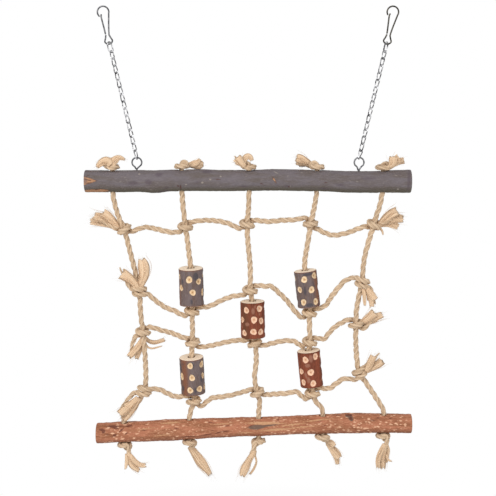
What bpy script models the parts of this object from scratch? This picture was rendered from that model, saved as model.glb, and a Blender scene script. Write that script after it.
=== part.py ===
"""A rope climbing wall for small cage birds, hung from two snap hooks.

Two bark-covered bars carry five upright sisal ropes. Four cross ropes are hitched round every
upright, five drilled wooden blocks are threaded on the uprights, and the top bar hangs by two
screw eyes and two short chains. Lengths are in millimetres, and MM turns them into metres.
X runs along the bars, Y away from the viewer, Z up. The origin is midway between the two points
where the hooks hang.
"""
import math

import bmesh
import bpy
from mathutils import Matrix, Vector

MM = 0.001
UP = Vector((0, 0, 1))
ACROSS = Vector((1, 0, 0))
AWAY = Vector((0, 1, 0))

# Driving dimensions
ROPE_RADIUS = 1.95
ROPE_STEP = 8               # between the points of a rope's run
TUBE_LEVEL = 1              # bevel resolution of ropes and wires
HOLE_RADIUS = 2.75          # drilled through both bars for the uprights
DRILL_OVERRUN = 3           # of a drill past the bar's face
DRILL_SIDES = 12
SHARP_EDGE = math.radians(40)
PIVOT_MARK = 5

# The top bar as (place along X, height, radius) from its left end to its right end
TOP_BAR = ((-135.2, -141.4, 9.2), (-105, -141.5, 9.1), (-91, -141.3, 9.1), (-78, -141.9, 9.5),
           (-63, -140.8, 9.0), (-40, -140.6, 9.0), (-22, -140.9, 8.8), (0, -141.0, 8.6), (22, -140.4, 9.0),
           (40, -140.5, 8.9), (60, -141.2, 8.8), (85, -142.1, 8.8), (102, -142.1, 8.9),
           (118, -141.6, 9.3), (135, -141.6, 9.5))
BOTTOM_BAR = ((-129.7, -357.9, 8.7), (-95, -356.2, 8.7), (-66, -354.9, 9.1), (-50, -354.0, 8.7),
              (-25, -353.2, 8.2), (0, -352.0, 8.2), (30, -351.2, 7.9), (45, -350.5, 7.9),
              (70, -349.6, 8.2), (86, -348.8, 8.6), (115, -349.0, 8.2), (139.7, -349.4, 8.1))
BAR_RINGS = 24
BAR_SIDES = 12
BAR_CHAMFER = 0.8

# Where the uprights pass through the bars
TOP_HOLES = (-112.6, -54.9, 0.8, 57.2, 111.8)
BOTTOM_HOLES = (-105.8, -50.1, 9.0, 63.9, 115.9)

# The bottom bar swings about a line just above it: its height at X = 0 and its slope
SWING_HEIGHT = -342.3
SWING_SLOPE = 0.0329
# The uprights are parted at that line, each side drawn in to a neck that stops short of it
NECK_SHARE = 0.5
NECK_START = 1.7
NECK_END = 0.7

# Where each cross rope, from the top one down, is hitched to each upright, as (X, Z)
KNOTS = (
    ((-103.2, -181.9), (-52.3, -179.8), (-0.8, -177.6), (52.2, -177.0), (104.9, -178.1)),
    ((-91.2, -234.1), (-47.3, -251.7), (1.8, -233.6), (51.8, -253.2), (96.1, -226.8)),
    ((-88.9, -269.3), (-47.0, -278.6), (5.6, -278.9), (52.4, -278.2), (91.2, -262.6)),
    ((-88.4, -320.2), (-46.3, -329.6), (7.9, -322.2), (55.2, -323.0), (94.8, -304.6)),
)
# Whether a hitch climbs (1) or drops (-1) from left to right
CLIMBS = ((-1, 1, 1, -1, 1), (-1, 1, 1, 1, -1), (1, -1, -1, 1, -1), (1, -1, -1, 1, 1))
# Hitches whose rope comes and leaves in front of the upright, as (row, column). The rest are behind
IN_FRONT = ((1, 0), (1, 4), (3, 0), (3, 4))
HITCH_RADIUS = 4.5
HITCH_PITCH = 4.6
HITCH_SWEEP = 430
HITCH_POINTS = 9
HITCH_LEAD = 5

# Wooden blocks as (node, centre of the top face, centre of the bottom face), faces as (X, Z)
BLOCKS = (
    ("block_upper_left", (-48.0, -215.0), (-47.3, -246.0)),
    ("block_upper_right", (47.9, -216.4), (51.5, -247.2)),
    ("block_centre", (3.7, -242.6), (4.4, -273.6)),
    ("block_lower_left", (-48.1, -291.6), (-46.6, -322.6)),
    ("block_lower_right", (51.3, -285.1), (54.5, -316.0)),
)
BLOCK_RADIUS = 10.2
SLIM_BLOCKS = {"block_upper_right": 9.5, "block_lower_right": 9.7}    # cut from thinner branch
BLOCK_BORE = 3.2
BLOCK_CHAMFER = 0.7
BLOCK_SIDES = 16

# Each upright's route below the top bar, as (X, Z). A whole number stands for a cross rope's knot
UPRIGHTS = (
    ((-112.4, -151), (-110.9, -160.5), (-107.3, -173), 0, (-100.9, -191.6), (-97.3, -206.8),
     (-94.6, -218), 1, (-91.0, -246), (-90.2, -258.5), 2, (-87.5, -289), (-87.0, -310), 3,
     (-92.4, -328), (-98.2, -336.5)),
    ((-54.8, -151), (-54.3, -160.5), (-53.2, -171), 0, (-51.0, -188.7), (-49.3, -203.4),
     (-48.0, -215), (-47.3, -246), 1, (-47.0, -265), 2, (-47.9, -289), (-46.6, -322.6), 3,
     (-48.6, -337)),
    ((0.8, -151), (0.4, -164.7), 0, (-0.2, -190.7), (1.6, -210.2), (2.0, -224.7), 1,
     (3.6, -242.6), (4.4, -273.6), 2, (6.8, -286), (6.9, -296), (5.6, -307), (6.3, -315), 3,
     (9.9, -330), (9.3, -338)),
    ((57.0, -151), (55.5, -161.3), (53.8, -170), 0, (51.0, -186.5), (48.8, -200), (47.6, -209),
     (47.9, -216.4), (51.5, -247.2), 1, (52.0, -265), 2, (51.5, -286), (54.4, -316), 3,
     (56.9, -328.4), (60.4, -332.6), (63.6, -337)),
    ((111.6, -151), (109.5, -162.7), (106.8, -171), 0, (101.8, -188.7), (97.9, -204.3),
     (96.6, -215), 1, (93.8, -237), (91.6, -250), 2, (91.4, -278.8), (92.7, -295), 3,
     (99.6, -312), (108.9, -326)),
)

# Each cross rope's route as (X, Y, Z), with a whole number for the upright that it is hitched to.
# The first and the last points are its frayed ends
CROSS_ROPES = (
    ((-130, 2, -172), (-123, 2, -174.5), (-116.5, 1, -178), 0, (-86, 0, -180), (-76, 0, -181.6),
     (-66, 0, -184), 1, (-36, 0, -174.2), (-25, 0, -174.8), (-15.5, 0, -177.2), 2, (17, 0, -175.2),
     (28, 0, -174.2), (40, 0, -173.6), 3, (65, 0, -185), (72, 0, -186.7), (84, 0, -184.4),
     (91, 0, -181.6), 4, (118.5, 1, -174.2), (122.5, 2, -172.6), (127, 2, -171)),
    ((-107.5, -2, -213.5), (-105.2, -2, -219), (-102.3, -2, -225), 0, (-78.4, 0, -241.9),
     (-69.8, 0, -248), (-62.2, 0, -251), 1, (-33, 0, -247.2), (-21.5, 0, -241.7),
     (-12, 0, -238.4), 2, (14.5, 0, -230.0), (19.5, 0, -230.1), (25.7, 0, -235.3), (32.9, 0, -242.5),
     (38.6, 0, -250), 3, (65, 0, -246.7), (69.8, 0, -239.5), (75.7, 0, -231.8), (81.5, 0, -225.4), 4,
     (105, -2, -236), (106.3, -2, -240.5), (107, -2, -245)),
    ((-100, 2, -293), (-99.5, 2, -286), (-98, 2, -279.5), 0, (-73, 0, -267.9), (-65, 0, -270),
     1, (-31, 0, -281), (-20, 0, -278.4), (-10, 0, -276.6), 2, (20, 0, -279.2), (30, 0, -277),
     (39, 0, -277.4), 3, (64.2, 0, -275.3), (68.9, 0, -269.7), (74, 0, -264.5), (79.5, 0, -261.2), 4,
     (103.5, 1, -261), (108, 2, -256.8), (112.5, 2, -252.5)),
    ((-110.5, -5, -337.5), (-106, -5, -331.5), (-101, -4, -325.5), 0, (-75.5, 0, -319.4),
     (-68.5, 0, -322.9), (-61.5, 0, -325.6), 1, (-31, 0, -327.0), (-22, 0, -325.7),
     (-11.5, 0, -323.6), 2, (25, 0, -323.2),
     (34, 0, -322.6), (41, 0, -321.4), 3, (69.5, 0, -318.2), (76, 0, -313.4), (82.5, 0, -309.8), 4,
     (104, -2, -294.6), (107.5, -2, -290.8), (111.5, -2, -287)),
)

# Stopper knots: the side that the loose end leaves by, front (1) or back (-1), the loose end's points
# past the knot, as (X, Z) from where the rope leaves the bar, and how far the knot hangs off the bar
TOP_STOPPERS = (
    (-1, 1, ((-6, 4.8), (-9.2, 6.2), (-12.4, 4.8))),
    (1, -1, ((6.5, 3.5), (11.5, 4.8), (17, 6.5))),
    (-1, 1, ((-5.5, 4.2), (-8.5, 7.5), (-12, 12))),
    (-1, -1, ((-6.5, 3.6), (-11.5, 5.5), (-17, 7.5))),
    (1, 1, ((6.5, 3.8), (11.5, 6), (16.5, 9))),
)
BOTTOM_STOPPERS = (
    (1, 1, ((4, -8.8), (8.5, -15.8), (15, -20.7))),
    (1, -1, ((1.9, -9.4), (6.3, -18.5), (12.6, -28.5))),
    (-1, 1, ((-4.5, -9.6), (-8.5, -18.5), (-12, -27.4)), 2.0),
    (1, -1, ((4.6, -9.2), (9.9, -17.0), (13, -24.8))),
    (1, 1, ((2.2, -9.2), (0.7, -17.0), (-0.4, -24.9))),
)
STOPPER_RADIUS = 4.4        # of the loop round the rope's own standing part
STOPPER_RISE = (-2.5, 0.5, 3.0)
STOPPER_TOP = 3.7           # where the rope turns over, above the bar's face
STOPPER_TURNOVER = (150, 90, 30)
STOPPER_TUCK = 0.6
STOPPER_START = 12
STOPPER_SWEEP = 290
STOPPER_DROP = 0.75
STOPPER_POINTS = 7

# Frayed ends swell to this share of the rope's radius and close again at the tip
FRAY = (1.75, 1.5, 1.15)

# Hooks, in their own plane: X to the right, Z up, zero where the hook hangs
HOOK_PLACE = 118.4
HOOK_LEAN = math.radians(10)
HOOK_WIRE = 0.65
BOW_RADIUS = 4.65
BOW_CENTRE = -4.0
BOW_ANGLES = range(215, -30, -24)
HOOK_STEP = 9
HOOK_SHANK = ((1.35, -22.3), (2.2, -25.2), (3.1, -27.7), (1.7, -29.5), (0, -30.0), (-1.7, -29.5),
              (-3.1, -27.7), (-2.2, -25.2), (-1.45, -22.7))
GATE_PIVOT = (-1.45, -21.9)
GATE_STEP = 6
GATE = ((-1.5, -21.2), (-1.6, -18.4), (-2.0, -12.5), (-2.3, -7.6), (-2.0, -5.9))

# Chains, from the hook's lower end to the screw eye
CHAIN_TOP = Vector((113.2, 0, -28.6))
CHAIN_END = Vector((92.0, 0, -122.0))
LINKS = 15
LINK_WIRE = 0.45
LINK_HALF_WIDTH = 1.75
LINK_OVERLAP = 0.6
LAST_OVERLAP = 1.4          # the last link hangs this far below the line that the wall swings on
LINK_TWIST = math.radians(45)
LAST_TWIST = math.radians(-70)
RING_WIRE = 0.6
RING_HALF_WIDTH = 2.9
RING_OVERLAP = 0.78
RING_FOOT = 0.9
RING_REACH = 6.85
RING_TURN = math.radians(-60)
EYE_OVERLAP = 0.1
BOW_STEPS = 4

# Screw eyes
EYE_WIRE = 0.65
EYE_RADIUS = 4.0
EYE_STEPS = 14
EYE_START = -62
EYE_SWEEP = 305
SHANK_LENGTH = 12
SHANK_PROUD = 0.6
SHANK_TIP = 0.5             # share of the wire's radius
PILOT_RADIUS = 1.05
PILOT_SPARE = 1

# Colour, roughness and metallic value of each finish
FINISHES = {
    "grey_bark": ((0.13, 0.11, 0.105, 1), 0.8, 0.0),
    "red_bark": ((0.33, 0.15, 0.08, 1), 0.75, 0.0),
    "sisal": ((0.6, 0.4, 0.21, 1), 0.95, 0.0),
    "nickel": ((0.55, 0.55, 0.56, 1), 0.25, 1.0),
}


def clear_scene():
    """Remove what the file holds at the start."""
    for item in list(bpy.data.objects):
        bpy.data.objects.remove(item, do_unlink=True)


def make_finish(name):
    """A plain Principled material of one of the finishes."""
    colour, roughness, metallic = FINISHES[name]
    material = bpy.data.materials.new(name)
    material.use_nodes = True
    shader = material.node_tree.nodes["Principled BSDF"]
    shader.inputs["Base Color"].default_value = colour
    shader.inputs["Roughness"].default_value = roughness
    shader.inputs["Metallic"].default_value = metallic
    return material


def add_pivot(name, place, parent=None):
    """An empty on a joint's axis. Everything that turns about that axis is its child."""
    empty = bpy.data.objects.new(name, None)
    empty.empty_display_size = PIVOT_MARK * MM
    empty["place"] = list(place)
    empty.location = Vector(place) * MM
    if parent:
        empty.parent = parent
        empty.location -= Vector(parent["place"]) * MM
    bpy.context.collection.objects.link(empty)
    return empty


def add_piece(name, data, finish, pivot):
    """Put modelled data, already placed about the pivot, into the scene as one piece."""
    data.materials.append(finish)
    piece = bpy.data.objects.new(name, data)
    piece.parent = pivot
    bpy.context.collection.objects.link(piece)
    return piece


def smooth_route(points, step):
    """Points on a smooth curve through a route, about a step apart and never fewer than given."""
    ends = [2 * points[0] - points[1]] + list(points) + [2 * points[-1] - points[-2]]
    route = [points[0]]
    for before, start, end, after in zip(ends, ends[1:], ends[2:], ends[3:]):
        count = max(1, round((end - start).length / step))
        reach = (end - start).length
        leave = (end - before).normalized() * reach
        arrive = (after - start).normalized() * reach
        for part in range(1, count + 1):
            t = part / count
            route.append(start * (2 * t**3 - 3 * t**2 + 1) + end * (3 * t**2 - 2 * t**3)
                         + leave * (t**3 - 2 * t**2 + t) + arrive * (t**3 - t**2))
    return route


def add_tube(name, route, radius, finish, pivot, swell=None, closed=False):
    """A round tube along a route, as a bevelled curve. swell gives each point's share of radius."""
    curve = bpy.data.curves.new(name, "CURVE")
    curve.dimensions = "3D"
    curve.bevel_depth = radius * MM
    curve.bevel_resolution = TUBE_LEVEL
    curve.use_fill_caps = not closed
    spline = curve.splines.new("POLY")
    spline.points.add(len(route) - 1)
    spline.use_cyclic_u = closed
    origin = Vector(pivot["place"])
    for index, (point, place) in enumerate(zip(spline.points, route)):
        point.co = (*((place - origin) * MM), 1)
        point.radius = swell[index] if swell else 1
    return add_piece(name, curve, finish, pivot)


def add_mesh(name, bm, finish, pivot):
    """A closed mesh of the given geometry, faces outward, shaded smooth but for its edges."""
    bmesh.ops.recalc_face_normals(bm, faces=bm.faces)
    bmesh.ops.translate(bm, verts=bm.verts, vec=-Vector(pivot["place"]))
    bmesh.ops.scale(bm, verts=bm.verts, vec=(MM, MM, MM))
    mesh = bpy.data.meshes.new(name)
    bm.to_mesh(mesh)
    bm.free()
    mesh.shade_smooth()
    mesh.set_sharp_from_angle(angle=SHARP_EDGE)
    return add_piece(name, mesh, finish, pivot)


def bridge_rings(bm, rings):
    """Join each ring of vertices to the next one with quads."""
    for ring, following in zip(rings, rings[1:]):
        for side in range(len(ring)):
            turn = (side + 1) % len(ring)
            bm.faces.new((ring[side], ring[turn], following[turn], following[side]))


def bar_at(stations, x):
    """A bar's height and radius at a place along it, eased between its stations."""
    for (x0, z0, r0), (x1, z1, r1) in zip(stations, stations[1:]):
        if x <= x1:
            break
    t = min(max((x - x0) / (x1 - x0), 0), 1)
    ease = t * t * (3 - 2 * t)
    return z0 + (z1 - z0) * ease, r0 + (r1 - r0) * ease


def add_bar(name, stations, holes, finish, pivot, pilots=()):
    """A branch with cut ends, its rope holes drilled right through and its screw holes blind."""
    bm = bmesh.new()
    left = stations[0][0]
    right = stations[-1][0]
    places = [left, left + BAR_CHAMFER]
    places += [left + (right - left) * ring / BAR_RINGS for ring in range(1, BAR_RINGS)]
    places += [right - BAR_CHAMFER, right]
    rings = []
    for x in places:
        z, radius = bar_at(stations, x)
        if x in (left, right):
            radius -= BAR_CHAMFER
        ring = []
        for side in range(BAR_SIDES):
            angle = 2 * math.pi * side / BAR_SIDES
            ring.append(bm.verts.new((x, radius * math.cos(angle), z + radius * math.sin(angle))))
        rings.append(ring)
    bridge_rings(bm, rings)
    bm.faces.new(rings[0])
    bm.faces.new(rings[-1])
    bar = add_mesh(name, bm, finish, pivot)
    cutter = bmesh.new()
    for x in holes:
        add_drill(cutter, x, HOLE_RADIUS, stations, through=True)
    for x in pilots:
        add_drill(cutter, x, PILOT_RADIUS, stations, through=False)
    drill = add_mesh(name + "_drill", cutter, finish, pivot)
    drill.hide_render = True
    drill.display_type = "WIRE"
    cut = bar.modifiers.new("holes", "BOOLEAN")
    cut.object = drill
    return bar


def add_drill(bm, x, radius, stations, through):
    """One upright cylinder that cuts a hole in a bar, from above its top."""
    z, bar_radius = bar_at(stations, x)
    top = z + bar_radius + DRILL_OVERRUN
    bottom = z + bar_radius - SHANK_LENGTH - PILOT_SPARE
    if through:
        bottom = z - bar_radius - DRILL_OVERRUN
    middle = Vector((x, 0, (top + bottom) / 2))
    bmesh.ops.create_cone(bm, cap_ends=True, segments=DRILL_SIDES, radius1=radius, radius2=radius,
                          depth=top - bottom, matrix=Matrix.Translation(middle))


def hitch(knot, lean, climb, front):
    """A rope's points once round an upright that runs along lean, from its left to its right.

    front is 1 where the rope comes and leaves in front of the upright, -1 where it does behind it.
    """
    sideways = AWAY.cross(lean)

    def wound(degrees):
        angle = math.radians(degrees)
        return (knot - sideways * HITCH_RADIUS * math.sin(angle)
                + AWAY * front * HITCH_RADIUS * math.cos(angle)
                + lean * climb * HITCH_PITCH * degrees / 360)

    half = HITCH_SWEEP / 2
    lead = (wound(1 - half) - wound(-half)).normalized() * HITCH_LEAD
    follow = (wound(half) - wound(half - 1)).normalized() * HITCH_LEAD
    turn = HITCH_SWEEP / (HITCH_POINTS - 1)
    points = [wound(turn * step - half) for step in range(HITCH_POINTS)]
    return [points[0] - lead] + points + [points[-1] + follow]


def knot_place(row, column):
    """Where a cross rope meets an upright."""
    x, z = KNOTS[row][column]
    return Vector((x, 0, z))


def swing_point(x):
    """A point of the bottom bar's swing line."""
    return Vector((x, 0, SWING_HEIGHT + SWING_SLOPE * x))


def upright_points(column):
    """The route's own points of an upright below the top bar, down to the swing line."""
    points = []
    for stop in UPRIGHTS[column]:
        if isinstance(stop, int):
            points.append(knot_place(stop, column))
        else:
            points.append(Vector((stop[0], 0, stop[1])))
    return points + [swing_point(BOTTOM_HOLES[column])]


def lean_at_knot(row, column):
    """The upright's direction, upward, where a cross rope is hitched to it."""
    points = upright_points(column)
    index = points.index(knot_place(row, column))
    return (points[index - 1] - points[index + 1]).normalized()


def stopper(face, away, side, front, loose, slack=0):
    """A stopper knot's points, from the rope inside the bar to its loose end.

    The rope turns over and loops once round its own standing part. face is where the rope leaves
    the bar, away is 1 above the bar or -1 below it, and slack is the gap between bar and knot.
    """
    out = UP * away
    face = face + out * slack
    along = ACROSS * side
    depth = AWAY * -front
    points = [face + out * height for height in STOPPER_RISE]
    half = STOPPER_RADIUS / 2
    for degrees in STOPPER_TURNOVER:
        angle = math.radians(degrees)
        points.append(face + along * half * (1 + math.cos(angle))
                      + out * (STOPPER_TOP + half * math.sin(angle)))
    for step in range(STOPPER_POINTS):
        share = step / (STOPPER_POINTS - 1)
        angle = math.radians(STOPPER_START + share * STOPPER_SWEEP)
        height = STOPPER_TOP - STOPPER_TUCK - share * STOPPER_DROP
        points.append(face + (along * math.cos(angle) - depth * math.sin(angle)) * STOPPER_RADIUS
                      + out * height)
    lift = depth * STOPPER_RADIUS
    return points + [face + Vector((x, 0, z)) + lift for x, z in loose]


def frayed(count, start=False, end=False):
    """Each point's share of the rope's radius, with the frayed ends swollen."""
    swell = [1.0] * count
    for index, share in enumerate(FRAY):
        if start:
            swell[index] = share
        if end:
            swell[-1 - index] = share
    return swell


def add_upright(column, finish, pivot):
    """One upright rope: its loose end, stopper knot, and run down to the swing line."""
    x = TOP_HOLES[column]
    z, radius = bar_at(TOP_BAR, x)
    knot = stopper(Vector((x, 0, z + radius)), 1, *TOP_STOPPERS[column])
    run = [Vector((x, 0, z))] + upright_points(column)
    end = run.pop()
    arrive = (run[-1] - end).normalized()
    run.append(end + arrive * NECK_START)
    route = list(reversed(knot)) + smooth_route(run, ROPE_STEP) + [end + arrive * NECK_END]
    swell = frayed(len(route), start=True)
    swell[-1] = NECK_SHARE
    return add_tube(f"upright_rope_{column + 1}", route, ROPE_RADIUS, finish, pivot, swell)


def add_bottom_knot(column, finish, pivot):
    """The rope's lower end: through the bottom bar, its stopper knot and its loose end."""
    top = swing_point(BOTTOM_HOLES[column])
    z, radius = bar_at(BOTTOM_BAR, top.x)
    knot = stopper(Vector((top.x, 0, z - radius)), -1, *BOTTOM_STOPPERS[column])
    route = [top - UP * NECK_END, top - UP * NECK_START, Vector((top.x, 0, z))] + knot
    swell = frayed(len(route), end=True)
    swell[0] = NECK_SHARE
    return add_tube(f"bottom_knot_{column + 1}", route, ROPE_RADIUS, finish, pivot, swell)


def least_gap(route):
    """The least gap of a rope to itself, between points more than half a turn apart along it."""
    gaps = []
    for first, start in enumerate(route):
        along = 0
        for before, point in zip(route[first:], route[first + 1:]):
            along += (point - before).length
            if along > math.pi * HITCH_RADIUS:
                gaps.append((point - start).length - 2 * ROPE_RADIUS)
    return min(gaps)


def add_cross_rope(row, finish, pivot):
    """One cross rope, hitched round all five uprights, with both ends frayed."""
    points = []
    for stop in CROSS_ROPES[row]:
        if isinstance(stop, int):
            front = 1 if (row, stop) in IN_FRONT else -1
            points += hitch(knot_place(row, stop), lean_at_knot(row, stop), CLIMBS[row][stop], front)
        else:
            points.append(Vector(stop))
    route = smooth_route(points, ROPE_STEP)
    name = f"cross_rope_{row + 1}"
    print(f"{name}: its turns stay {least_gap(route):.2f} mm apart")
    swell = frayed(len(route), start=True, end=True)
    return add_tube(name, route, ROPE_RADIUS, finish, pivot, swell)


def add_block(name, top, bottom, finish, parent):
    """A length of drilled branch on its rope, turned about the rope by its own pivot."""
    upper = Vector((top[0], 0, top[1]))
    lower = Vector((bottom[0], 0, bottom[1]))
    pivot = add_pivot(name + "_pivot", (upper + lower) / 2, parent)
    axis = (upper - lower).normalized()
    sideways = AWAY.cross(axis)
    half = (upper - lower).length / 2
    outer = SLIM_BLOCKS.get(name, BLOCK_RADIUS)
    profile = ((BLOCK_BORE, half), (outer - BLOCK_CHAMFER, half),
               (outer, half - BLOCK_CHAMFER), (outer, BLOCK_CHAMFER - half),
               (outer - BLOCK_CHAMFER, -half), (BLOCK_BORE, -half), (BLOCK_BORE, half))
    bm = bmesh.new()
    rings = []
    for radius, height in profile[:-1]:
        ring = []
        for side in range(BLOCK_SIDES):
            angle = 2 * math.pi * side / BLOCK_SIDES
            ring.append(bm.verts.new((upper + lower) / 2 + axis * height
                                     + (sideways * math.cos(angle) + AWAY * math.sin(angle)) * radius))
        rings.append(ring)
    bridge_rings(bm, rings + rings[:1])
    return add_mesh(name, bm, finish, pivot)


def chain_frame(side):
    """A chain's upper end, its direction downward and the direction square to it."""
    top = Vector((CHAIN_TOP.x * side, 0, CHAIN_TOP.z))
    end = Vector((CHAIN_END.x * side, 0, CHAIN_END.z))
    down = (end - top).normalized()
    return top, down, AWAY.cross(down)


def oval_loop(top, down, across, length, half_width, turns):
    """Points of a closed oval wire. turns are the angles of its upper and lower bow."""
    points = []
    straight = length - 2 * half_width
    for bow, turn in enumerate(turns):
        flat = across * math.cos(turn) + AWAY * math.sin(turn)
        centre = top + down * (half_width + bow * straight)
        for step in range(BOW_STEPS + 1):
            angle = math.pi * step / BOW_STEPS + bow * math.pi
            points.append(centre + flat * half_width * math.cos(angle)
                          - down * half_width * math.sin(angle))
    return points


def chain_joints():
    """Heights of the pivots along the chains: the ring's, each link's and the wall's."""
    length = (CHAIN_END - CHAIN_TOP).length
    pitch = (length - RING_REACH) / LINKS
    reaches = [0] + [RING_REACH + pitch * link for link in range(LINKS + 1)]
    return pitch, reaches, [CHAIN_TOP.z + (CHAIN_END.z - CHAIN_TOP.z) * reach / length
                            for reach in reaches]


def add_chains(finish, root):
    """Both chains, link by link. A pair of links left and right turns about one line along X."""
    pitch, reaches, heights = chain_joints()
    pivot = add_pivot("ring_pivot", (0, 0, heights[0]), root)
    for side, word in ((-1, "left"), (1, "right")):
        top, down, across = chain_frame(side)
        length = RING_REACH + RING_OVERLAP + RING_FOOT
        route = oval_loop(top - down * RING_OVERLAP, down, across, length, RING_HALF_WIDTH,
                          (RING_TURN, RING_TURN))
        add_tube(f"ring_{word}", route, RING_WIRE, finish, pivot, closed=True)
    for link in range(1, LINKS + 1):
        pivot = add_pivot(f"link_{link:02d}_pivot", (0, 0, heights[link]), pivot)
        lower_turn = -LINK_TWIST
        lower_overlap = LINK_OVERLAP
        if link == LINKS:
            lower_turn = LAST_TWIST
            lower_overlap = LAST_OVERLAP
        length = pitch + LINK_OVERLAP + lower_overlap
        for side, word in ((-1, "left"), (1, "right")):
            top, down, across = chain_frame(side)
            start = top + down * (reaches[link] - LINK_OVERLAP)
            route = oval_loop(start, down, across, length, LINK_HALF_WIDTH, (LINK_TWIST, lower_turn))
            add_tube(f"link_{word}_{link:02d}", route, LINK_WIRE, finish, pivot, closed=True)
    return pivot


def hook_place(side, point):
    """A point of a hook's own plane, placed in the wall's frame."""
    x, z = point
    turn = HOOK_LEAN * side
    return Vector((side * HOOK_PLACE + x * math.cos(turn) + z * math.sin(turn), 0,
                   z * math.cos(turn) - x * math.sin(turn)))


def add_hook(side, word, finish, root):
    """A bent-wire snap hook: the bow with its nose, the arm, the lower eye, and the sprung gate."""
    bow = []
    for degrees in BOW_ANGLES:
        angle = math.radians(degrees)
        bow.append((BOW_RADIUS * math.cos(angle), BOW_CENTRE + BOW_RADIUS * math.sin(angle)))
    route = [hook_place(side, point) for point in bow + list(HOOK_SHANK)]
    add_tube(f"hook_{word}", smooth_route(route, HOOK_STEP), HOOK_WIRE, finish, root)
    pivot = add_pivot(f"gate_{word}_pivot", hook_place(side, GATE_PIVOT), root)
    gate = [hook_place(side, point) for point in GATE]
    add_tube(f"hook_gate_{word}", smooth_route(gate, GATE_STEP), HOOK_WIRE, finish, pivot)


def add_eye(side, word, finish, pivot):
    """A screw eye: its shank in the top bar and its ring, not quite closed."""
    centre = Vector((side * CHAIN_END.x, 0, CHAIN_END.z + EYE_OVERLAP - EYE_RADIUS))
    z, radius = bar_at(TOP_BAR, centre.x)
    tip = z + radius - SHANK_LENGTH
    route = [Vector((centre.x, 0, tip)), Vector((centre.x, 0, (tip + z + radius) / 2)),
             Vector((centre.x, 0, z + radius + SHANK_PROUD))]
    for step in range(EYE_STEPS):
        angle = math.radians(EYE_START + EYE_SWEEP * step / (EYE_STEPS - 1))
        route.append(centre + (ACROSS * math.cos(angle) + UP * math.sin(angle)) * EYE_RADIUS)
    swell = [SHANK_TIP] + [1.0] * (len(route) - 1)
    add_tube(f"screw_eye_{word}", route, EYE_WIRE, finish, pivot, swell)


def main():
    """Build the wall from the hooks down."""
    clear_scene()
    finishes = {name: make_finish(name) for name in FINISHES}
    root = add_pivot("hanging_line", (0, 0, 0))
    for side, word in ((-1, "left"), (1, "right")):
        add_hook(side, word, finishes["nickel"], root)
    last_link = add_chains(finishes["nickel"], root)
    wall = add_pivot("wall_pivot", (0, 0, CHAIN_END.z), last_link)
    eyes = (-CHAIN_END.x, CHAIN_END.x)
    add_bar("top_bar", TOP_BAR, TOP_HOLES, finishes["grey_bark"], wall, pilots=eyes)
    for side, word in ((-1, "left"), (1, "right")):
        add_eye(side, word, finishes["nickel"], wall)
    for row in range(len(CROSS_ROPES)):
        add_cross_rope(row, finishes["sisal"], wall)
    rail = add_pivot("bottom_rail_pivot", swing_point(0), wall)
    add_bar("bottom_bar", BOTTOM_BAR, BOTTOM_HOLES, finishes["red_bark"], rail)
    for column in range(len(UPRIGHTS)):
        add_upright(column, finishes["sisal"], wall)
        add_bottom_knot(column, finishes["sisal"], rail)
    for name, top, bottom in BLOCKS:
        bark = "red_bark" if name in ("block_centre", "block_lower_right") else "grey_bark"
        add_block(name, top, bottom, finishes[bark], wall)


main()
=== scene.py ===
# %% [markdown]
# # A rope climbing wall for cage birds
#
# The wall hangs from two snap hooks. Two bark-covered bars hold five upright sisal ropes, four
# cross ropes are hitched round them, five drilled wooden blocks sit on the uprights, and two chains
# carry it all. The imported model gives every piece's place and movement. This lesson dresses it:
# real three-strand rope with frayed ends, bark that has relief, drilled spots, and bent wire.
#
# The frame comes first, because every piece below rides on one of its bodies.

# %% Load the frame
import math

import bpy
import numpy as np
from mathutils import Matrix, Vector, noise


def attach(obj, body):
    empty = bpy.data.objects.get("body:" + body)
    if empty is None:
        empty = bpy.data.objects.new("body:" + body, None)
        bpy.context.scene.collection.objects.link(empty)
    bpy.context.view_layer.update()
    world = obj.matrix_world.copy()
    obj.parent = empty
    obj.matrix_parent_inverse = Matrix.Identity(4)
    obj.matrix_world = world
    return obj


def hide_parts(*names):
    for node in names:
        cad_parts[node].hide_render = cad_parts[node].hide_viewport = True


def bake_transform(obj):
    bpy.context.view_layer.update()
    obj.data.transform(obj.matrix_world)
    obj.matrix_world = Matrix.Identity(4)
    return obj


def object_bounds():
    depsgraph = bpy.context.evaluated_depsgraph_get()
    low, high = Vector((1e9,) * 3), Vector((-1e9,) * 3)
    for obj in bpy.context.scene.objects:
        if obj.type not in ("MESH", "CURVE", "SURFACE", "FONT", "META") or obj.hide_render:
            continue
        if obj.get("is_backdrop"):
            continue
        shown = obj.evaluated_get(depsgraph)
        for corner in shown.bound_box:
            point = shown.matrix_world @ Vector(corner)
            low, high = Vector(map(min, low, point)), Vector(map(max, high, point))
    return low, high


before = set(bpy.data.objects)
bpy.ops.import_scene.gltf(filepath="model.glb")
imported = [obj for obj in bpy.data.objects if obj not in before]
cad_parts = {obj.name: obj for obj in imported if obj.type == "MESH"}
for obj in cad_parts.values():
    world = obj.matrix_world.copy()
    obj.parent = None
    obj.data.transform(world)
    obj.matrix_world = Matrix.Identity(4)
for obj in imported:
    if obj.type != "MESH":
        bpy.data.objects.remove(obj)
cad_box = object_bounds()
MM = 0.001
SEED = 7

# %% [markdown]
# ## Camera
#
# The picture looks slightly down on the wall: the blocks' upper faces just show. A camera about
# nine tenths of a metre away, tilted by eight degrees, makes both bars equally long, as they are.
# Tilting the camera needs no lens shift, so every other view is framed just as well.

# %% Camera
PICTURE = 496
FOCAL_PIXELS = 1083.3
SENSOR = 36.0
LOOK_DOWN = math.radians(8)
DISTANCE = 907 * MM
AIM = Vector((0, 0, -197.5 * MM))


def put(name, data, place=(0, 0, 0)):
    """Add an object with this data to the scene."""
    item = bpy.data.objects.new(name, data)
    item.location = place
    bpy.context.scene.collection.objects.link(item)
    return item


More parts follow.
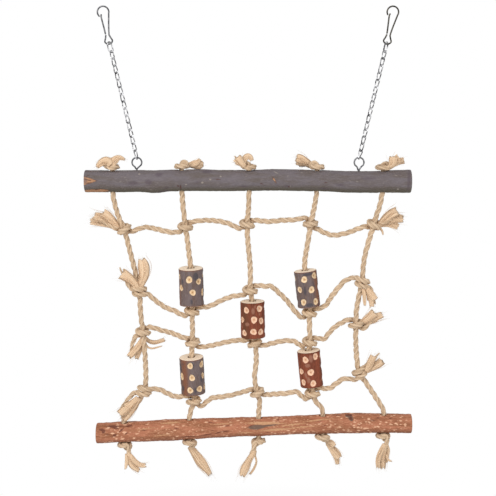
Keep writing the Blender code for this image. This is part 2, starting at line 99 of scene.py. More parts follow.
away = Vector((0, -math.cos(LOOK_DOWN), math.sin(LOOK_DOWN)))
camera = put("camera", bpy.data.cameras.new("camera"), AIM + away * DISTANCE)
camera.data.sensor_width = SENSOR
camera.data.lens = FOCAL_PIXELS / PICTURE * SENSOR
camera.rotation_euler = (math.pi / 2 - LOOK_DOWN, 0, 0)
bpy.context.scene.camera = camera
bpy.context.scene.view_settings.view_transform = "Standard"
print("lens", round(camera.data.lens, 1), "mm")

# %% [markdown]
# ## Floor, world and lamps
#
# The wall hangs in a white studio. The world shows white to the camera and to mirror-like metal,
# and lights everything else a little less strongly, so that colours stay as they are written. The
# floor is a real matt plane that catches the shadow near the wall and turns to the same white
# farther off. Two wide area lamps, the stronger one from the upper left, give soft shading round
# the bars.

# %% Node helpers
def feed_socket(tree, socket, value):
    """Give an input socket another node's output, or a plain value."""
    if isinstance(value, bpy.types.NodeSocket):
        tree.links.new(value, socket)
    else:
        socket.default_value = value


def feed(tree, node, **sockets):
    """Feed a node's input sockets by their names."""
    for key, value in sockets.items():
        feed_socket(tree, node.inputs[key.replace("_", " ")], value)


def add_node(tree, kind, **settings):
    """A shader node, with its attributes or its input sockets set by name."""
    made = tree.nodes.new("ShaderNode" + kind)
    for key, value in settings.items():
        if hasattr(made, key):
            setattr(made, key, value)
        else:
            feed(tree, made, **{key: value})
    return made


def math_node(tree, operation, *values):
    """A Math node fed by outputs or plain numbers, in the order of its sockets."""
    made = add_node(tree, "Math", operation=operation)
    for socket, value in zip(made.inputs, values):
        feed_socket(tree, socket, value)
    return made.outputs[0]


def colour(red, green, blue):
    """A colour given as it looks on screen, from 0 to 255, as the shader wants it."""
    scaled = [value / 255 for value in (red, green, blue)]
    return (*[v / 12.92 if v <= 0.04045 else ((v + 0.055) / 1.055) ** 2.4 for v in scaled], 1.0)


# %% World
WORLD_LIGHT = 0.45
WHITE = (1, 1, 1, 1)

world = bpy.data.worlds.new("studio")
bpy.context.scene.world = world
world.use_nodes = True
tree = world.node_tree
tree.nodes.clear()
path = add_node(tree, "LightPath").outputs
seen = math_node(tree, "MAXIMUM", path["Is Camera Ray"], path["Is Glossy Ray"])
seen = math_node(tree, "MAXIMUM", seen, path["Is Transmission Ray"])
strength = add_node(tree, "MapRange", Value=seen, To_Min=WORLD_LIGHT, To_Max=1.0)
sky = add_node(tree, "Background", Color=WHITE, Strength=strength.outputs[0])
add_node(tree, "OutputWorld", Surface=sky.outputs[0])
print("world light", WORLD_LIGHT)

# %% Floor
FLOOR_DROP = 0.6
FLOOR_HALF = 6.0
FLOOR_FADE = (0.15, 0.55)   # metres from under the wall, where the shadow gives way to white
FLOOR_PAINT = (0.93, 0.93, 0.93, 1)

floor_mesh = bpy.data.meshes.new("floor")
corners = [(x * FLOOR_HALF, y * FLOOR_HALF, 0) for x, y in ((-1, -1), (1, -1), (1, 1), (-1, 1))]
floor_mesh.from_pydata(corners, [], [(0, 1, 2, 3)])
floor = put("floor", floor_mesh, (0, 0, -FLOOR_DROP))
paint = bpy.data.materials.new("floor_paint")
paint.use_nodes = True
tree = paint.node_tree
tree.nodes.clear()
reach = add_node(tree, "VectorMath", operation="LENGTH",
                 Vector=add_node(tree, "TexCoord").outputs["Object"])
fade = add_node(tree, "MapRange", interpolation_type="SMOOTHSTEP", Value=reach.outputs["Value"],
                From_Min=FLOOR_FADE[0], From_Max=FLOOR_FADE[1])
camera_ray = add_node(tree, "LightPath").outputs["Is Camera Ray"]
white_out = math_node(tree, "MULTIPLY", fade.outputs[0], camera_ray)
matt = add_node(tree, "BsdfDiffuse", Color=FLOOR_PAINT)
glow = add_node(tree, "Emission", Color=WHITE, Strength=1.0)
mix = add_node(tree, "MixShader")
for socket, value in zip(mix.inputs, (white_out, matt.outputs[0], glow.outputs[0])):
    feed_socket(tree, socket, value)
add_node(tree, "OutputMaterial", Surface=mix.outputs[0])
floor_mesh.materials.append(paint)
floor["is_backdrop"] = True
print("floor", FLOOR_DROP, "m under the hooks")

# %% Lamps
# Name, place, width in metres, watts
LAMPS = (
    ("key_lamp", (-0.75, -1.3, 0.75), 1.1, 19.5),
    ("fill_lamp", (1.1, -1.2, 0.1), 1.2, 6.5),
)
for name, place, size, power in LAMPS:
    lamp = bpy.data.lights.new(name, "AREA")
    lamp.size = size
    lamp.energy = power
    stand = put(name, lamp, place)
    stand.rotation_euler = (AIM - Vector(place)).to_track_quat("-Z", "Y").to_euler()
print("lamps:", ", ".join(name for name, *_ in LAMPS))

# %% [markdown]
# ## Routes of the ropes
#
# Nine lengths of sisal make the net. An upright starts in a frayed end, is knotted over the top
# bar, runs down through bar, knots and blocks, and is knotted and frayed again under the bottom
# bar. A cross rope takes a round turn at every upright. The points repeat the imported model's own
# routes, in millimetres, so the dressed ropes lie exactly where the solid ones do. MM turns them
# into metres.

# %% Places of knots, holes and bars
# Stations of a bar: place across, height of its middle line, radius
TOP_BAR = ((-135.2, -141.4, 9.2), (-105, -141.5, 9.1), (-91, -141.3, 9.1), (-78, -141.9, 9.5),
           (-63, -140.8, 9.0), (-40, -140.6, 9.0), (-22, -140.9, 8.8), (0, -141.0, 8.6),
           (22, -140.4, 9.0), (40, -140.5, 8.9), (60, -141.2, 8.8), (85, -142.1, 8.8),
           (102, -142.1, 8.9), (118, -141.6, 9.3), (135, -141.6, 9.5))
BOTTOM_BAR = ((-129.7, -357.9, 8.7), (-95, -356.2, 8.7), (-66, -354.9, 9.1), (-50, -354.0, 8.7),
              (-25, -353.2, 8.2), (0, -352.0, 8.2), (30, -351.2, 7.9), (45, -350.5, 7.9),
              (70, -349.6, 8.2), (86, -348.8, 8.6), (115, -349.0, 8.2), (139.7, -349.4, 8.1))
TOP_HOLES = (-112.6, -54.9, 0.8, 57.2, 111.8)
BOTTOM_HOLES = (-105.8, -50.1, 9.0, 63.9, 115.9)
SWING_HEIGHT = -342.3
SWING_SLOPE = 0.0329
# Hitches in rows from the top, each as place across and height, and whether they wind up or down
KNOTS = (
    ((-103.2, -181.9), (-52.3, -179.8), (-0.8, -177.6), (52.2, -177.0), (104.9, -178.1)),
    ((-91.2, -234.1), (-47.3, -251.7), (1.8, -233.6), (51.8, -253.2), (96.1, -226.8)),
    ((-88.9, -269.3), (-47.0, -278.6), (5.6, -278.9), (52.4, -278.2), (91.2, -262.6)),
    ((-88.4, -320.2), (-46.3, -329.6), (7.9, -322.2), (55.2, -323.0), (94.8, -304.6)),
)
CLIMBS = ((-1, 1, 1, -1, 1), (-1, 1, 1, 1, -1), (1, -1, -1, 1, -1), (1, -1, -1, 1, 1))

# %% Points of the ropes
# An upright from the top bar down, with the row of each hitch that it passes
UPRIGHTS = (
    ((-112.4, -151), (-110.9, -160.5), (-107.3, -173), 0, (-100.9, -191.6), (-97.3, -206.8),
     (-94.6, -218), 1, (-91.0, -246), (-90.2, -258.5), 2, (-87.5, -289), (-87.0, -310), 3,
     (-92.4, -328), (-98.2, -336.5)),
    ((-54.8, -151), (-54.3, -160.5), (-53.2, -171), 0, (-51.0, -188.7), (-49.3, -203.4),
     (-48.0, -215), (-47.3, -246), 1, (-47.0, -265), 2, (-47.9, -289), (-46.6, -322.6), 3,
     (-48.6, -337)),
    ((0.8, -151), (0.4, -164.7), 0, (-0.2, -190.7), (1.6, -210.2), (2.0, -224.7), 1,
     (3.6, -242.6), (4.4, -273.6), 2, (6.8, -286), (6.9, -296), (5.6, -307), (6.3, -315), 3,
     (9.9, -330), (9.3, -338)),
    ((57.0, -151), (55.5, -161.3), (53.8, -170), 0, (51.0, -186.5), (48.8, -200), (47.6, -209),
     (47.9, -216.4), (51.5, -247.2), 1, (52.0, -265), 2, (51.5, -286), (54.4, -316), 3,
     (56.9, -328.4), (60.4, -332.6), (63.6, -337)),
    ((111.6, -151), (109.5, -162.7), (106.8, -171), 0, (101.8, -188.7), (97.9, -204.3),
     (96.6, -215), 1, (93.8, -237), (91.6, -250), 2, (91.4, -278.8), (92.7, -295), 3,
     (99.6, -312), (108.9, -326)),
)
# A cross rope from left to right, as across, depth and up, with the column of each hitch
CROSS_ROPES = (
    ((-130, 2, -172), (-123, 2, -174.5), (-116.5, 1, -178), 0, (-86, 0, -180), (-76, 0, -181.6),
     (-66, 0, -184), 1, (-36, 0, -174.2), (-25, 0, -174.8), (-15.5, 0, -177.2), 2, (17, 0, -175.2),
     (28, 0, -174.2), (40, 0, -173.6), 3, (65, 0, -185), (72, 0, -186.7), (84, 0, -184.4),
     (91, 0, -181.6), 4, (118.5, 1, -174.2), (122.5, 2, -172.6), (127, 2, -171)),
    ((-107.5, -2, -213.5), (-105.2, -2, -219), (-102.3, -2, -225), 0, (-78.4, 0, -241.9),
     (-69.8, 0, -248), (-62.2, 0, -251), 1, (-33, 0, -247.2), (-21.5, 0, -241.7),
     (-12, 0, -238.4), 2, (14.5, 0, -230.0), (19.5, 0, -230.1), (25.7, 0, -235.3),
     (32.9, 0, -242.5), (38.6, 0, -250), 3, (65, 0, -246.7), (69.8, 0, -239.5), (75.7, 0, -231.8),
     (81.5, 0, -225.4), 4, (105, -2, -236), (106.3, -2, -240.5), (107, -2, -245)),
    ((-100, 2, -293), (-99.5, 2, -286), (-98, 2, -279.5), 0, (-73, 0, -267.9), (-65, 0, -270),
     1, (-31, 0, -281), (-20, 0, -278.4), (-10, 0, -276.6), 2, (20, 0, -279.2), (30, 0, -277),
     (39, 0, -277.4), 3, (64.2, 0, -275.3), (68.9, 0, -269.7), (74, 0, -264.5),
     (79.5, 0, -261.2), 4, (103.5, 1, -261), (108, 2, -256.8), (112.5, 2, -252.5)),
    ((-110.5, -5, -337.5), (-106, -5, -331.5), (-101, -4, -325.5), 0, (-75.5, 0, -319.4),
     (-68.5, 0, -322.9), (-61.5, 0, -325.6), 1, (-31, 0, -327.0), (-22, 0, -325.7),
     (-11.5, 0, -323.6), 2, (25, 0, -323.2), (34, 0, -322.6), (41, 0, -321.4), 3,
     (69.5, 0, -318.2), (76, 0, -313.4), (82.5, 0, -309.8), 4,
     (104, -2, -294.6), (107.5, -2, -290.8), (111.5, -2, -287)),
)
# Stopper knots: the side that they lie to, front or back, the loose end's points, and any slack
TOP_STOPPERS = (
    (-1, 1, ((-6, 4.8), (-9.2, 6.2), (-12.4, 4.8))),
    (1, -1, ((6.5, 3.5), (11.5, 4.8), (17, 6.5))),
    (-1, 1, ((-5.5, 4.2), (-8.5, 7.5), (-12, 12))),
    (-1, -1, ((-6.5, 3.6), (-11.5, 5.5), (-17, 7.5))),
    (1, 1, ((6.5, 3.8), (11.5, 6), (16.5, 9))),
)
BOTTOM_STOPPERS = (
    (1, 1, ((4, -8.8), (8.5, -15.8), (15, -20.7))),
    (1, -1, ((1.9, -9.4), (6.3, -18.5), (12.6, -28.5))),
    (-1, 1, ((-4.5, -9.6), (-8.5, -18.5), (-12, -27.4)), 2.0),
    (1, -1, ((4.6, -9.2), (9.9, -17.0), (13, -24.8))),
    (1, 1, ((2.2, -9.2), (0.7, -17.0), (-0.4, -24.9))),
)
print(sum(len(row) for row in KNOTS), "hitches and", 2 * len(TOP_HOLES), "stopper knots")

# %% [markdown]
# A rope's shape is a curve through those points. Where a number stands among them it names a knot,
# and the knot's own turns are worked out: a hitch is a helix round the upright, a stopper knot
# turns over and loops round the rope's own standing part.

# %% Curves through points
UP = np.array((0.0, 0.0, 1.0))
ACROSS = np.array((1.0, 0.0, 0.0))
AWAY = np.array((0.0, 1.0, 0.0))


def unit(vector):
    """The same direction, one long."""
    return vector / np.linalg.norm(vector, axis=-1, keepdims=True)


def bar_at(stations, x):
    """A bar's height and radius at a place along it, eased between its stations."""
    for (x0, z0, r0), (x1, z1, r1) in zip(stations, stations[1:]):
        if x <= x1:
            break
    t = min(max((x - x0) / (x1 - x0), 0), 1)
    ease = t * t * (3 - 2 * t)
    return z0 + (z1 - z0) * ease, r0 + (r1 - r0) * ease


def flat(point):
    """A point of the wall's own plane."""
    return np.array((point[0], 0.0, point[1]))


def smooth_route(points, step, closed=False):
    """Points about a step apart on a smooth curve through a route's own points."""
    points = [np.array(point, float) for point in points]
    ends = [2 * points[0] - points[1], *points, 2 * points[-1] - points[-2]]
    if closed:
        ends = [points[-1], *points, points[0], points[1]]
    route = [points[0]]
    for before, start, end, after in zip(ends, ends[1:], ends[2:], ends[3:]):
        reach = np.linalg.norm(end - start)
        leave = unit(end - before) * reach
        arrive = unit(after - start) * reach
        for t in np.linspace(0, 1, max(1, round(reach / step)) + 1)[1:]:
            route.append(start * (2 * t**3 - 3 * t**2 + 1) + end * (3 * t**2 - 2 * t**3)
                         + leave * (t**3 - 2 * t**2 + t) + arrive * (t**3 - t**2))
    return np.array(route[:-1] if closed else route)


def even_steps(route, step):
    """The same line with its points evenly spaced."""
    along = np.concatenate([[0], np.cumsum(np.linalg.norm(np.diff(route, axis=0), axis=1))])
    at = np.linspace(0, along[-1], max(2, round(along[-1] / step) + 1))
    return np.stack([np.interp(at, along, route[:, axis]) for axis in range(3)], axis=1), along[-1]


# %% Hitches
IN_FRONT = ((1, 0), (1, 4), (3, 0), (3, 4))     # row and column
HITCH_RADIUS = 4.5
HITCH_PITCH = 4.6
HITCH_SWEEP = 430
HITCH_POINTS = 9
HITCH_LEAD = 5


def upright_points(column):
    """An upright's own points from below the top bar down to the bottom bar's swing line."""
    points = []
    for stop in UPRIGHTS[column]:
        points.append(flat(KNOTS[stop][column] if isinstance(stop, int) else stop))
    x = BOTTOM_HOLES[column]
    return points + [flat((x, SWING_HEIGHT + SWING_SLOPE * x))]


def hitch(row, column):
    """A cross rope's points once round an upright, from its left to its right."""
    points = upright_points(column)
    knot = flat(KNOTS[row][column])
    index = next(i for i, point in enumerate(points) if np.allclose(point, knot))
    lean = unit(points[index - 1] - points[index + 1])
    sideways = np.cross(AWAY, lean)
    front = 1 if (row, column) in IN_FRONT else -1

    def wound(degrees):
        angle = math.radians(degrees)
        return (knot - sideways * HITCH_RADIUS * math.sin(angle)
                + AWAY * front * HITCH_RADIUS * math.cos(angle)
                + lean * CLIMBS[row][column] * HITCH_PITCH * degrees / 360)

    half = HITCH_SWEEP / 2
    lead = unit(wound(1 - half) - wound(-half)) * HITCH_LEAD
    follow = unit(wound(half) - wound(half - 1)) * HITCH_LEAD
    turns = [wound(HITCH_SWEEP * step / (HITCH_POINTS - 1) - half) for step in range(HITCH_POINTS)]
    return [turns[0] - lead, *turns, turns[-1] + follow]


# %% Stopper knots
STOPPER_RADIUS = 4.4
STOPPER_RISE = (-2.5, 0.5, 3.0)
STOPPER_TOP = 3.7
STOPPER_TURNOVER = (150, 90, 30)
STOPPER_TUCK = 0.6
STOPPER_START = 12
STOPPER_SWEEP = 290
STOPPER_DROP = 0.75
STOPPER_POINTS = 7


def stopper(face, out, side, front, loose, slack=0):
    """A stopper knot's points, from the rope inside the bar to its loose end."""
    rise = UP * out
    face = face + rise * slack
    along = ACROSS * side
    depth = AWAY * -front
    points = [face + rise * height for height in STOPPER_RISE]
    half = STOPPER_RADIUS / 2
    for degrees in STOPPER_TURNOVER:
        angle = math.radians(degrees)
        points.append(face + along * half * (1 + math.cos(angle))
                      + rise * (STOPPER_TOP + half * math.sin(angle)))
    for step in range(STOPPER_POINTS):
        share = step / (STOPPER_POINTS - 1)
        angle = math.radians(STOPPER_START + share * STOPPER_SWEEP)
        points.append(face + (along * math.cos(angle) - depth * math.sin(angle)) * STOPPER_RADIUS
                      + rise * (STOPPER_TOP - STOPPER_TUCK - share * STOPPER_DROP))
    return points + [face + flat(end) + depth * STOPPER_RADIUS for end in loose]


# %% Whole routes
def upright_route(column):
    """An upright from its upper frayed end to its lower one."""
    x = TOP_HOLES[column]
    z, radius = bar_at(TOP_BAR, x)
    points = stopper(flat((x, z + radius)), 1, *TOP_STOPPERS[column])[::-1]
    points += [flat((x, z)), *upright_points(column)]
    x = BOTTOM_HOLES[column]
    z, radius = bar_at(BOTTOM_BAR, x)
    points += [flat((x, z)), *stopper(flat((x, z - radius)), -1, *BOTTOM_STOPPERS[column])]
    return points


def cross_route(row):
    """A cross rope from its left frayed end to its right one."""
    points = []
    for stop in CROSS_ROPES[row]:
        points += hitch(row, stop) if isinstance(stop, int) else [np.array(stop, float)]
    return points


# %% [markdown]
# ## Sisal
#
# Sisal rope is three strands of pale leaf fibre laid round each other. Up close it shows streaks
# along every strand, from straw to brown, and no gloss. Rope and frayed ends are the same fibre, so
# one node group makes the tone for both. It reads two attributes of the mesh: lay, a place measured
# along the fibre, and tint, how pale this strand or fibre is. On the rope, tint is also lower in
# the grooves between the strands, which paints shade there.

# %% Sisal tone, a node group
STREAK_CONTRAST = 1.5


def new_group(name, inputs, outputs):
    """An empty node group with named sockets, the values given to it, and its end node."""
    group = bpy.data.node_groups.new(name, "ShaderNodeTree")
    for socket, kind, value in inputs:
        made = group.interface.new_socket(socket, in_out="INPUT", socket_type="NodeSocket" + kind)
        if value is not None:
            made.default_value = value
    for socket, kind in outputs:
        group.interface.new_socket(socket, in_out="OUTPUT", socket_type="NodeSocket" + kind)
    given = group.nodes.new("NodeGroupInput").outputs
    return group, given, group.nodes.new("NodeGroupOutput")


def mix_colour(tree, factor, first, second):
    """A Mix node for colours, fed by outputs or plain colours."""
    made = add_node(tree, "Mix", data_type="RGBA")
    sockets = made.inputs[0], made.inputs[6], made.inputs[7]
    for socket, value in zip(sockets, (factor, first, second)):
        feed_socket(tree, socket, value)
    return made.outputs[2]


sisal_tone, given, result = new_group(
    "sisal_tone",
    (("Lay", "Vector", None), ("Tint", "Float", 0.5), ("Pale", "Color", (1, 1, 1, 1)),
     ("Deep", "Color", (0.3, 0.2, 0.1, 1))),
    (("Color", "Color"), ("Height", "Float")))
streaks = add_node(sisal_tone, "TexNoise", Scale=1.0, Detail=3.0, Roughness=0.6,
                   Vector=given["Lay"]).outputs[0]
share = math_node(sisal_tone, "MULTIPLY_ADD", streaks, STREAK_CONTRAST, -STREAK_CONTRAST / 2)
share = math_node(sisal_tone, "ADD", share, given["Tint"])
share.node.use_clamp = True
tone = mix_colour(sisal_tone, share, given["Deep"], given["Pale"])
feed(sisal_tone, result, Color=tone, Height=streaks)
print("group", sisal_tone.name)


# %% Sisal materials
SISAL_RELIEF = 0.3 * MM


def new_material(name, **sockets):
    """A material with a Principled shader, its plain values set on the shader's own sockets."""
    material = bpy.data.materials.new(name)
    material.use_nodes = True
    tree = material.node_tree
    shader = tree.nodes["Principled BSDF"]
    feed(tree, shader, **sockets)
    return material, tree, shader


def add_group(tree, group, **sockets):
    """The outputs of a node group placed in a material, its input sockets fed by name."""
    made = tree.nodes.new("ShaderNodeGroup")
    made.node_tree = group
    feed(tree, made, **sockets)
    return made.outputs


def attribute(tree, name, output="Fac"):
    """A value kept in the mesh's points."""
    return add_node(tree, "Attribute", attribute_name=name).outputs[output]


def add_bump(tree, shader, height, strength, distance):
    """Small relief that only the light sees."""
    bump = add_node(tree, "Bump", Strength=strength, Distance=distance, Height=height)
    feed(tree, shader, Normal=bump.outputs[0])


def sisal_material(name, pale, deep, bump):
    """Fibre with streaks along it."""
    material, tree, shader = new_material(name, Roughness=0.9, Specular_IOR_Level=0.25)
    tone = add_group(tree, sisal_tone, Pale=pale, Deep=deep, Lay=attribute(tree, "lay", "Vector"),
                     Tint=attribute(tree, "tint"))
    feed(tree, shader, Base_Color=tone["Color"])
    add_bump(tree, shader, tone["Height"], bump, SISAL_RELIEF)
    return material


sisal_rope = sisal_material("sisal_rope", colour(231, 204, 173), colour(165, 137, 107), 0.4)
# The frayed ends are paler than the rope, their deep tone most of all: partly the loose fibre's own
# paler tone, partly painted light for light passing through and between the thin fibres.
sisal_fray_with_painted_light = sisal_material("sisal_fray_with_painted_light", colour(240, 212, 180), colour(200, 166, 131), 0.3)
print("sisal:", sisal_rope.name, "and", sisal_fray_with_painted_light.name)

# %% [markdown]
# ## The ropes
#
# A bevelled curve would give a plain tube. Here each rope is swept by hand instead: at every half
# millimetre a three-lobed outline is placed square to the route and turned a little further, so the
# three strands and the grooves between them are real geometry. Frames carried along the route
# without spin keep the lay even through the knots.

# %% Sweep helpers
def carried_frames(route, closed=False):
    """Directions along a route and two square to it, carried along without spin."""
    if closed:
        ahead = np.roll(route, -1, axis=0) - np.roll(route, 1, axis=0)
    else:
        ahead = np.gradient(route, axis=0)
    ahead = unit(ahead)
    side = np.zeros_like(ahead)
    start = np.cross(ahead[0], AWAY)
    if np.linalg.norm(start) < 0.2:
        start = np.cross(ahead[0], UP)
    side[0] = unit(start)
    for index in range(1, len(route)):
        carried = side[index - 1] - ahead[index] * np.dot(side[index - 1], ahead[index])
        side[index] = unit(carried)
    return ahead, side, np.cross(ahead, side)


def tube_points(route, side, other, reach, angle):
    """Rings of points round a route, at these angles and this far from it."""
    return (route[:, None] + side[:, None] * (reach * np.cos(angle))[..., None]
            + other[:, None] * (reach * np.sin(angle))[..., None])


def ring_faces(rings, sides, closed=False):
    """Quads between each ring of points and the next, with end caps unless it is a closed loop."""
    faces = []
    for ring in range(rings if closed else rings - 1):
        here = ring * sides
        there = (ring + 1) % rings * sides
        for side in range(sides):
            turn = (side + 1) % sides
            faces.append((here + side, here + turn, there + turn, there + side))
    if not closed:
        faces.append(tuple(reversed(range(sides))))
        faces.append(tuple(range((rings - 1) * sides, rings * sides)))
    return faces


def mesh_of(name, points, faces, material, **attributes):
    """A smooth mesh object of points in millimetres, with float or vector point attributes."""
    mesh = bpy.data.meshes.new(name)
    mesh.from_pydata((np.asarray(points) * MM).tolist(), [], faces)
    mesh.shade_smooth()
    mesh.materials.append(material)
    for key, values in attributes.items():
        values = np.asarray(values, np.float32)
        kind, field = ("FLOAT_VECTOR", "vector") if values.ndim == 2 else ("FLOAT", "value")
        mesh.attributes.new(key, kind, "POINT").data.foreach_set(field, values.ravel())
    return put(name, mesh)


# %% Outline of a rope
ROPE_DIAMETER = 3.9
ROPE_STEP = 0.55
ROPE_SWELL = 1.19           # the strands stand a little proud of the measured thickness
LAY_LENGTH = 20.0
STRANDS = 3
STRAND_SIDES = 8
STRAND_SHARE = 0.48         # of the rope's radius
GROOVE_SHARE = 0.66


def lobed_outline():
    """Angle and reach of the points round a rope of radius one: three strands and their grooves."""
    angles = 2 * np.pi * np.arange(STRANDS * STRAND_SIDES) / (STRANDS * STRAND_SIDES)
    third = 2 * np.pi / STRANDS
    off = (angles + third / 2) % third - third / 2
    centre = 1 - STRAND_SHARE
    bulge = np.sqrt(np.maximum(STRAND_SHARE**2 - (centre * np.sin(off))**2, 0))
    return angles, np.maximum(centre * np.cos(off) + bulge, GROOVE_SHARE)


# %% [markdown]
# Sisal is never smooth. Short fibres work loose all along it, so a few hundred thin ones stand out
# of every rope. They are part of the rope's own mesh and bend with it.

# %% Thin fibres
FIBRE_SLANT = np.array((0.31, 0.83, 0.47))      # a direction that hardly any fibre runs in
FIBRE_LAY = (0.12, 1.7)                         # tone along a fibre, and from one to the next
CORNERS = 3


def fibre_mesh(lines, radii, tints):
    """Thin closed fibres as points, faces, lay and tint. lines holds the points of each fibre."""
    count, steps, _ = lines.shape
    ahead = unit(np.gradient(lines, axis=1))
    side = unit(np.cross(ahead, FIBRE_SLANT))
    other = np.cross(ahead, side)
    points = []
    for corner in range(CORNERS):
        angle = 2 * np.pi * corner / CORNERS
        reach = side * math.cos(angle) + other * math.sin(angle)
        points.append(lines[:, :-1] + reach[:, :-1] * radii[:, :-1, None])
    points = np.stack(points, axis=2).reshape(count, -1, 3)
    points = np.concatenate([points, lines[:, -1:]], axis=1)
    size = points.shape[1]
    pattern = ring_faces(steps - 1, CORNERS)[:-1]
    pattern.insert(0, pattern.pop())
    last = CORNERS * (steps - 2)
    for corner in range(CORNERS):
        pattern.append((last + corner, last + (corner + 1) % CORNERS, size - 1))
    faces = [tuple(index + size * fibre for index in face)
             for fibre in range(count) for face in pattern]
    along, across = FIBRE_LAY
    number, step = np.meshgrid(np.arange(count) * across, np.arange(size) * along, indexing="ij")
    lay = np.stack([step, number, np.zeros(number.shape)], axis=2)
    return points.reshape(-1, 3), faces, lay.reshape(-1, 3), np.repeat(tints, size)


def joined(parts):
    """Several shapes, each as points, faces, lay and tint, as one."""
    faces = []
    shift = 0
    for points, own, *_ in parts:
        faces += [tuple(index + shift for index in face) for face in own]
        shift += len(points)
    points, lay, tint = (np.concatenate([part[key] for part in parts]) for key in (0, 2, 3))
    return points, faces, lay, tint


# %% Loose fibres of a rope
FUZZ_PER_MM = 2.6
FUZZ_RADIUS = 0.055
FUZZ_POINTS = 4
FUZZ_TINT = 0.75
FUZZ_LENGTH = (1.2, 2.2)    # the least, and how much more
FUZZ_RISE = (0.35, 0.9)
FUZZ_ROOT = 1.5             # from the rope's middle line
FUZZ_LIFT = 0.5
FUZZ_CURL = (1.3, 0.25)     # how late a fibre rises, and how far it turns back
FUZZ_ENDS = 3               # steps of the rope that stay clean at each end


def spread(random, least, more, shape):
    """Random values from the least one up to this much more."""
    return least + more * random.random(shape)


def fuzz_lines(random, route, ahead, side, other, count):
    """Short loose fibres leaning out of a rope."""
    at = random.integers(FUZZ_ENDS, len(route) - FUZZ_ENDS, count)
    angle = random.random(count) * 2 * np.pi
    out = side[at] * np.cos(angle)[:, None] + other[at] * np.sin(angle)[:, None]
    lean = ahead[at] * random.choice((-1.0, 1.0), count)[:, None]
    length = spread(random, *FUZZ_LENGTH, count)
    rise = spread(random, *FUZZ_RISE, count)
    late, back = FUZZ_CURL
    lines = []
    for t in np.linspace(0, 1, FUZZ_POINTS):
        lines.append(route[at] + out * (FUZZ_ROOT + (rise + FUZZ_LIFT) * t ** late)[:, None]
                     + lean * (length * t * (1 - back * t))[:, None])
    return np.stack(lines, axis=1)


# %% Thickness and skin of a rope
THIN_SHARE = 0.25           # of the rope's thickness, left at a frayed end
KNOT_SWELL = 0.13           # rope squeezed in a knot spreads by this share
KNOT_REACH = 4.5
KNOT_PLACES = np.array([place for row in KNOTS for place in row])
GIRTH_WOBBLE = 0.09         # share by which the thickness wanders
TURN_WOBBLE = 0.8           # radians by which the twist wanders
ROPE_LAY = (0.12, 4.5)      # tone along a rope and round it
ROPE_SHIFT = 5              # from one rope's tone to the next
# Painted shade: a rope is darker in the grooves between its strands and paler on their crests; the
# wobble is uneven tone.
ROPE_SHADE_AND_TINT = (0.38, 0.28, 0.15)      # in a groove, more on a strand, and by the wobble


def rope_girth(route, along, wobble, thin_start, thin_end):
    """A rope's radius: uneven, spread in the knots and thin at both ends."""
    girth = ROPE_DIAMETER / 2 * ROPE_SWELL * (1 + GIRTH_WOBBLE * wobble)
    off = np.linalg.norm(route[:, None, (0, 2)] - KNOT_PLACES[None], axis=2).min(axis=1)
    girth *= 1 + KNOT_SWELL * np.exp(-(off / KNOT_REACH) ** 2)
    girth *= np.clip(THIN_SHARE + (1 - THIN_SHARE) * along / thin_start, 0, 1)
    left = along[-1] - along
    return girth * np.clip(THIN_SHARE + (1 - THIN_SHARE) * left / thin_end, 0, 1)


def rope_skin(route, along, side, other, girth, wobble, seed):
    """Three strands laid round each other, as points, faces, lay and tint."""
    angles, reach = lobed_outline()
    turn = 2 * np.pi * along / LAY_LENGTH + TURN_WOBBLE * wobble
    points = tube_points(route, side, other, girth[:, None] * reach, angles + turn[:, None])
    lengthwise, round_it = ROPE_LAY
    places = (along[:, None] * lengthwise + seed * ROPE_SHIFT, np.cos(angles) * round_it,
              np.sin(angles) * round_it)
    lay = np.stack(np.broadcast_arrays(*places), axis=2)
    # Painted shade: the tint falls toward the grooves between the strands.
    groove = np.clip((reach - GROOVE_SHARE) / (1 - GROOVE_SHARE), 0, 1)
    deep, more, uneven = ROPE_SHADE_AND_TINT
    tint = deep + more * groove + uneven * wobble[:, None]
    faces = ring_faces(len(route), len(angles))
    return points.reshape(-1, 3), faces, lay.reshape(-1, 3), tint.ravel()


# %% Sweep the ropes
WOBBLE_SCALE = (0.06, 3.1)  # along a rope, and from one rope to the next
ROPE_SEED = SEED + 50
TOP_THIN = 13
BOTTOM_THIN = 20
CROSS_THIN = 20


def add_rope(name, points, thin_start, thin_end, seed):
    """A laid rope along a route. Its ends thin out over these lengths, where the fibres part."""
    route, length = even_steps(smooth_route(points, ROPE_STEP), ROPE_STEP)
    ahead, side, other = carried_frames(route)
    along = np.linspace(0, length, len(route))
    step, shift = WOBBLE_SCALE
    wobble = np.array([noise.noise(Vector((place * step, seed * shift, 0))) for place in along])
    girth = rope_girth(route, along, wobble, thin_start, thin_end)
    body = rope_skin(route, along, side, other, girth, wobble, seed)
    count = round(length * FUZZ_PER_MM)
    lines = fuzz_lines(np.random.default_rng(ROPE_SEED + seed), route, ahead, side, other, count)
    fuzz = fibre_mesh(lines, np.full((count, FUZZ_POINTS), FUZZ_RADIUS), np.full(count, FUZZ_TINT))
    points, faces, lay, tint = joined([body, fuzz])
    rope = mesh_of(name, points, faces, sisal_rope, lay=lay, tint=tint)
    return rope, route * MM, length


ropes = {}
for column in range(len(UPRIGHTS)):
    name = f"upright_{column + 1}"
    ropes[name] = add_rope(name, upright_route(column), TOP_THIN, BOTTOM_THIN, column)
for row in range(len(CROSS_ROPES)):
    name = f"cross_{row + 1}"
    ropes[name] = add_rope(name, cross_route(row), CROSS_THIN, CROSS_THIN, 10 + row)
for name, (rope, _, length) in ropes.items():
    print(name, round(length), "mm,", len(rope.data.polygons), "faces")

# %% [markdown]
# The uprights pass through the bottom bar, and the bar can swing. Each upright only has its place
# baked into its mesh here. The cross ropes simply ride on the wall.


def bend_at_bar(piece):
    """Bake a piece's place into its mesh."""
    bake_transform(piece)


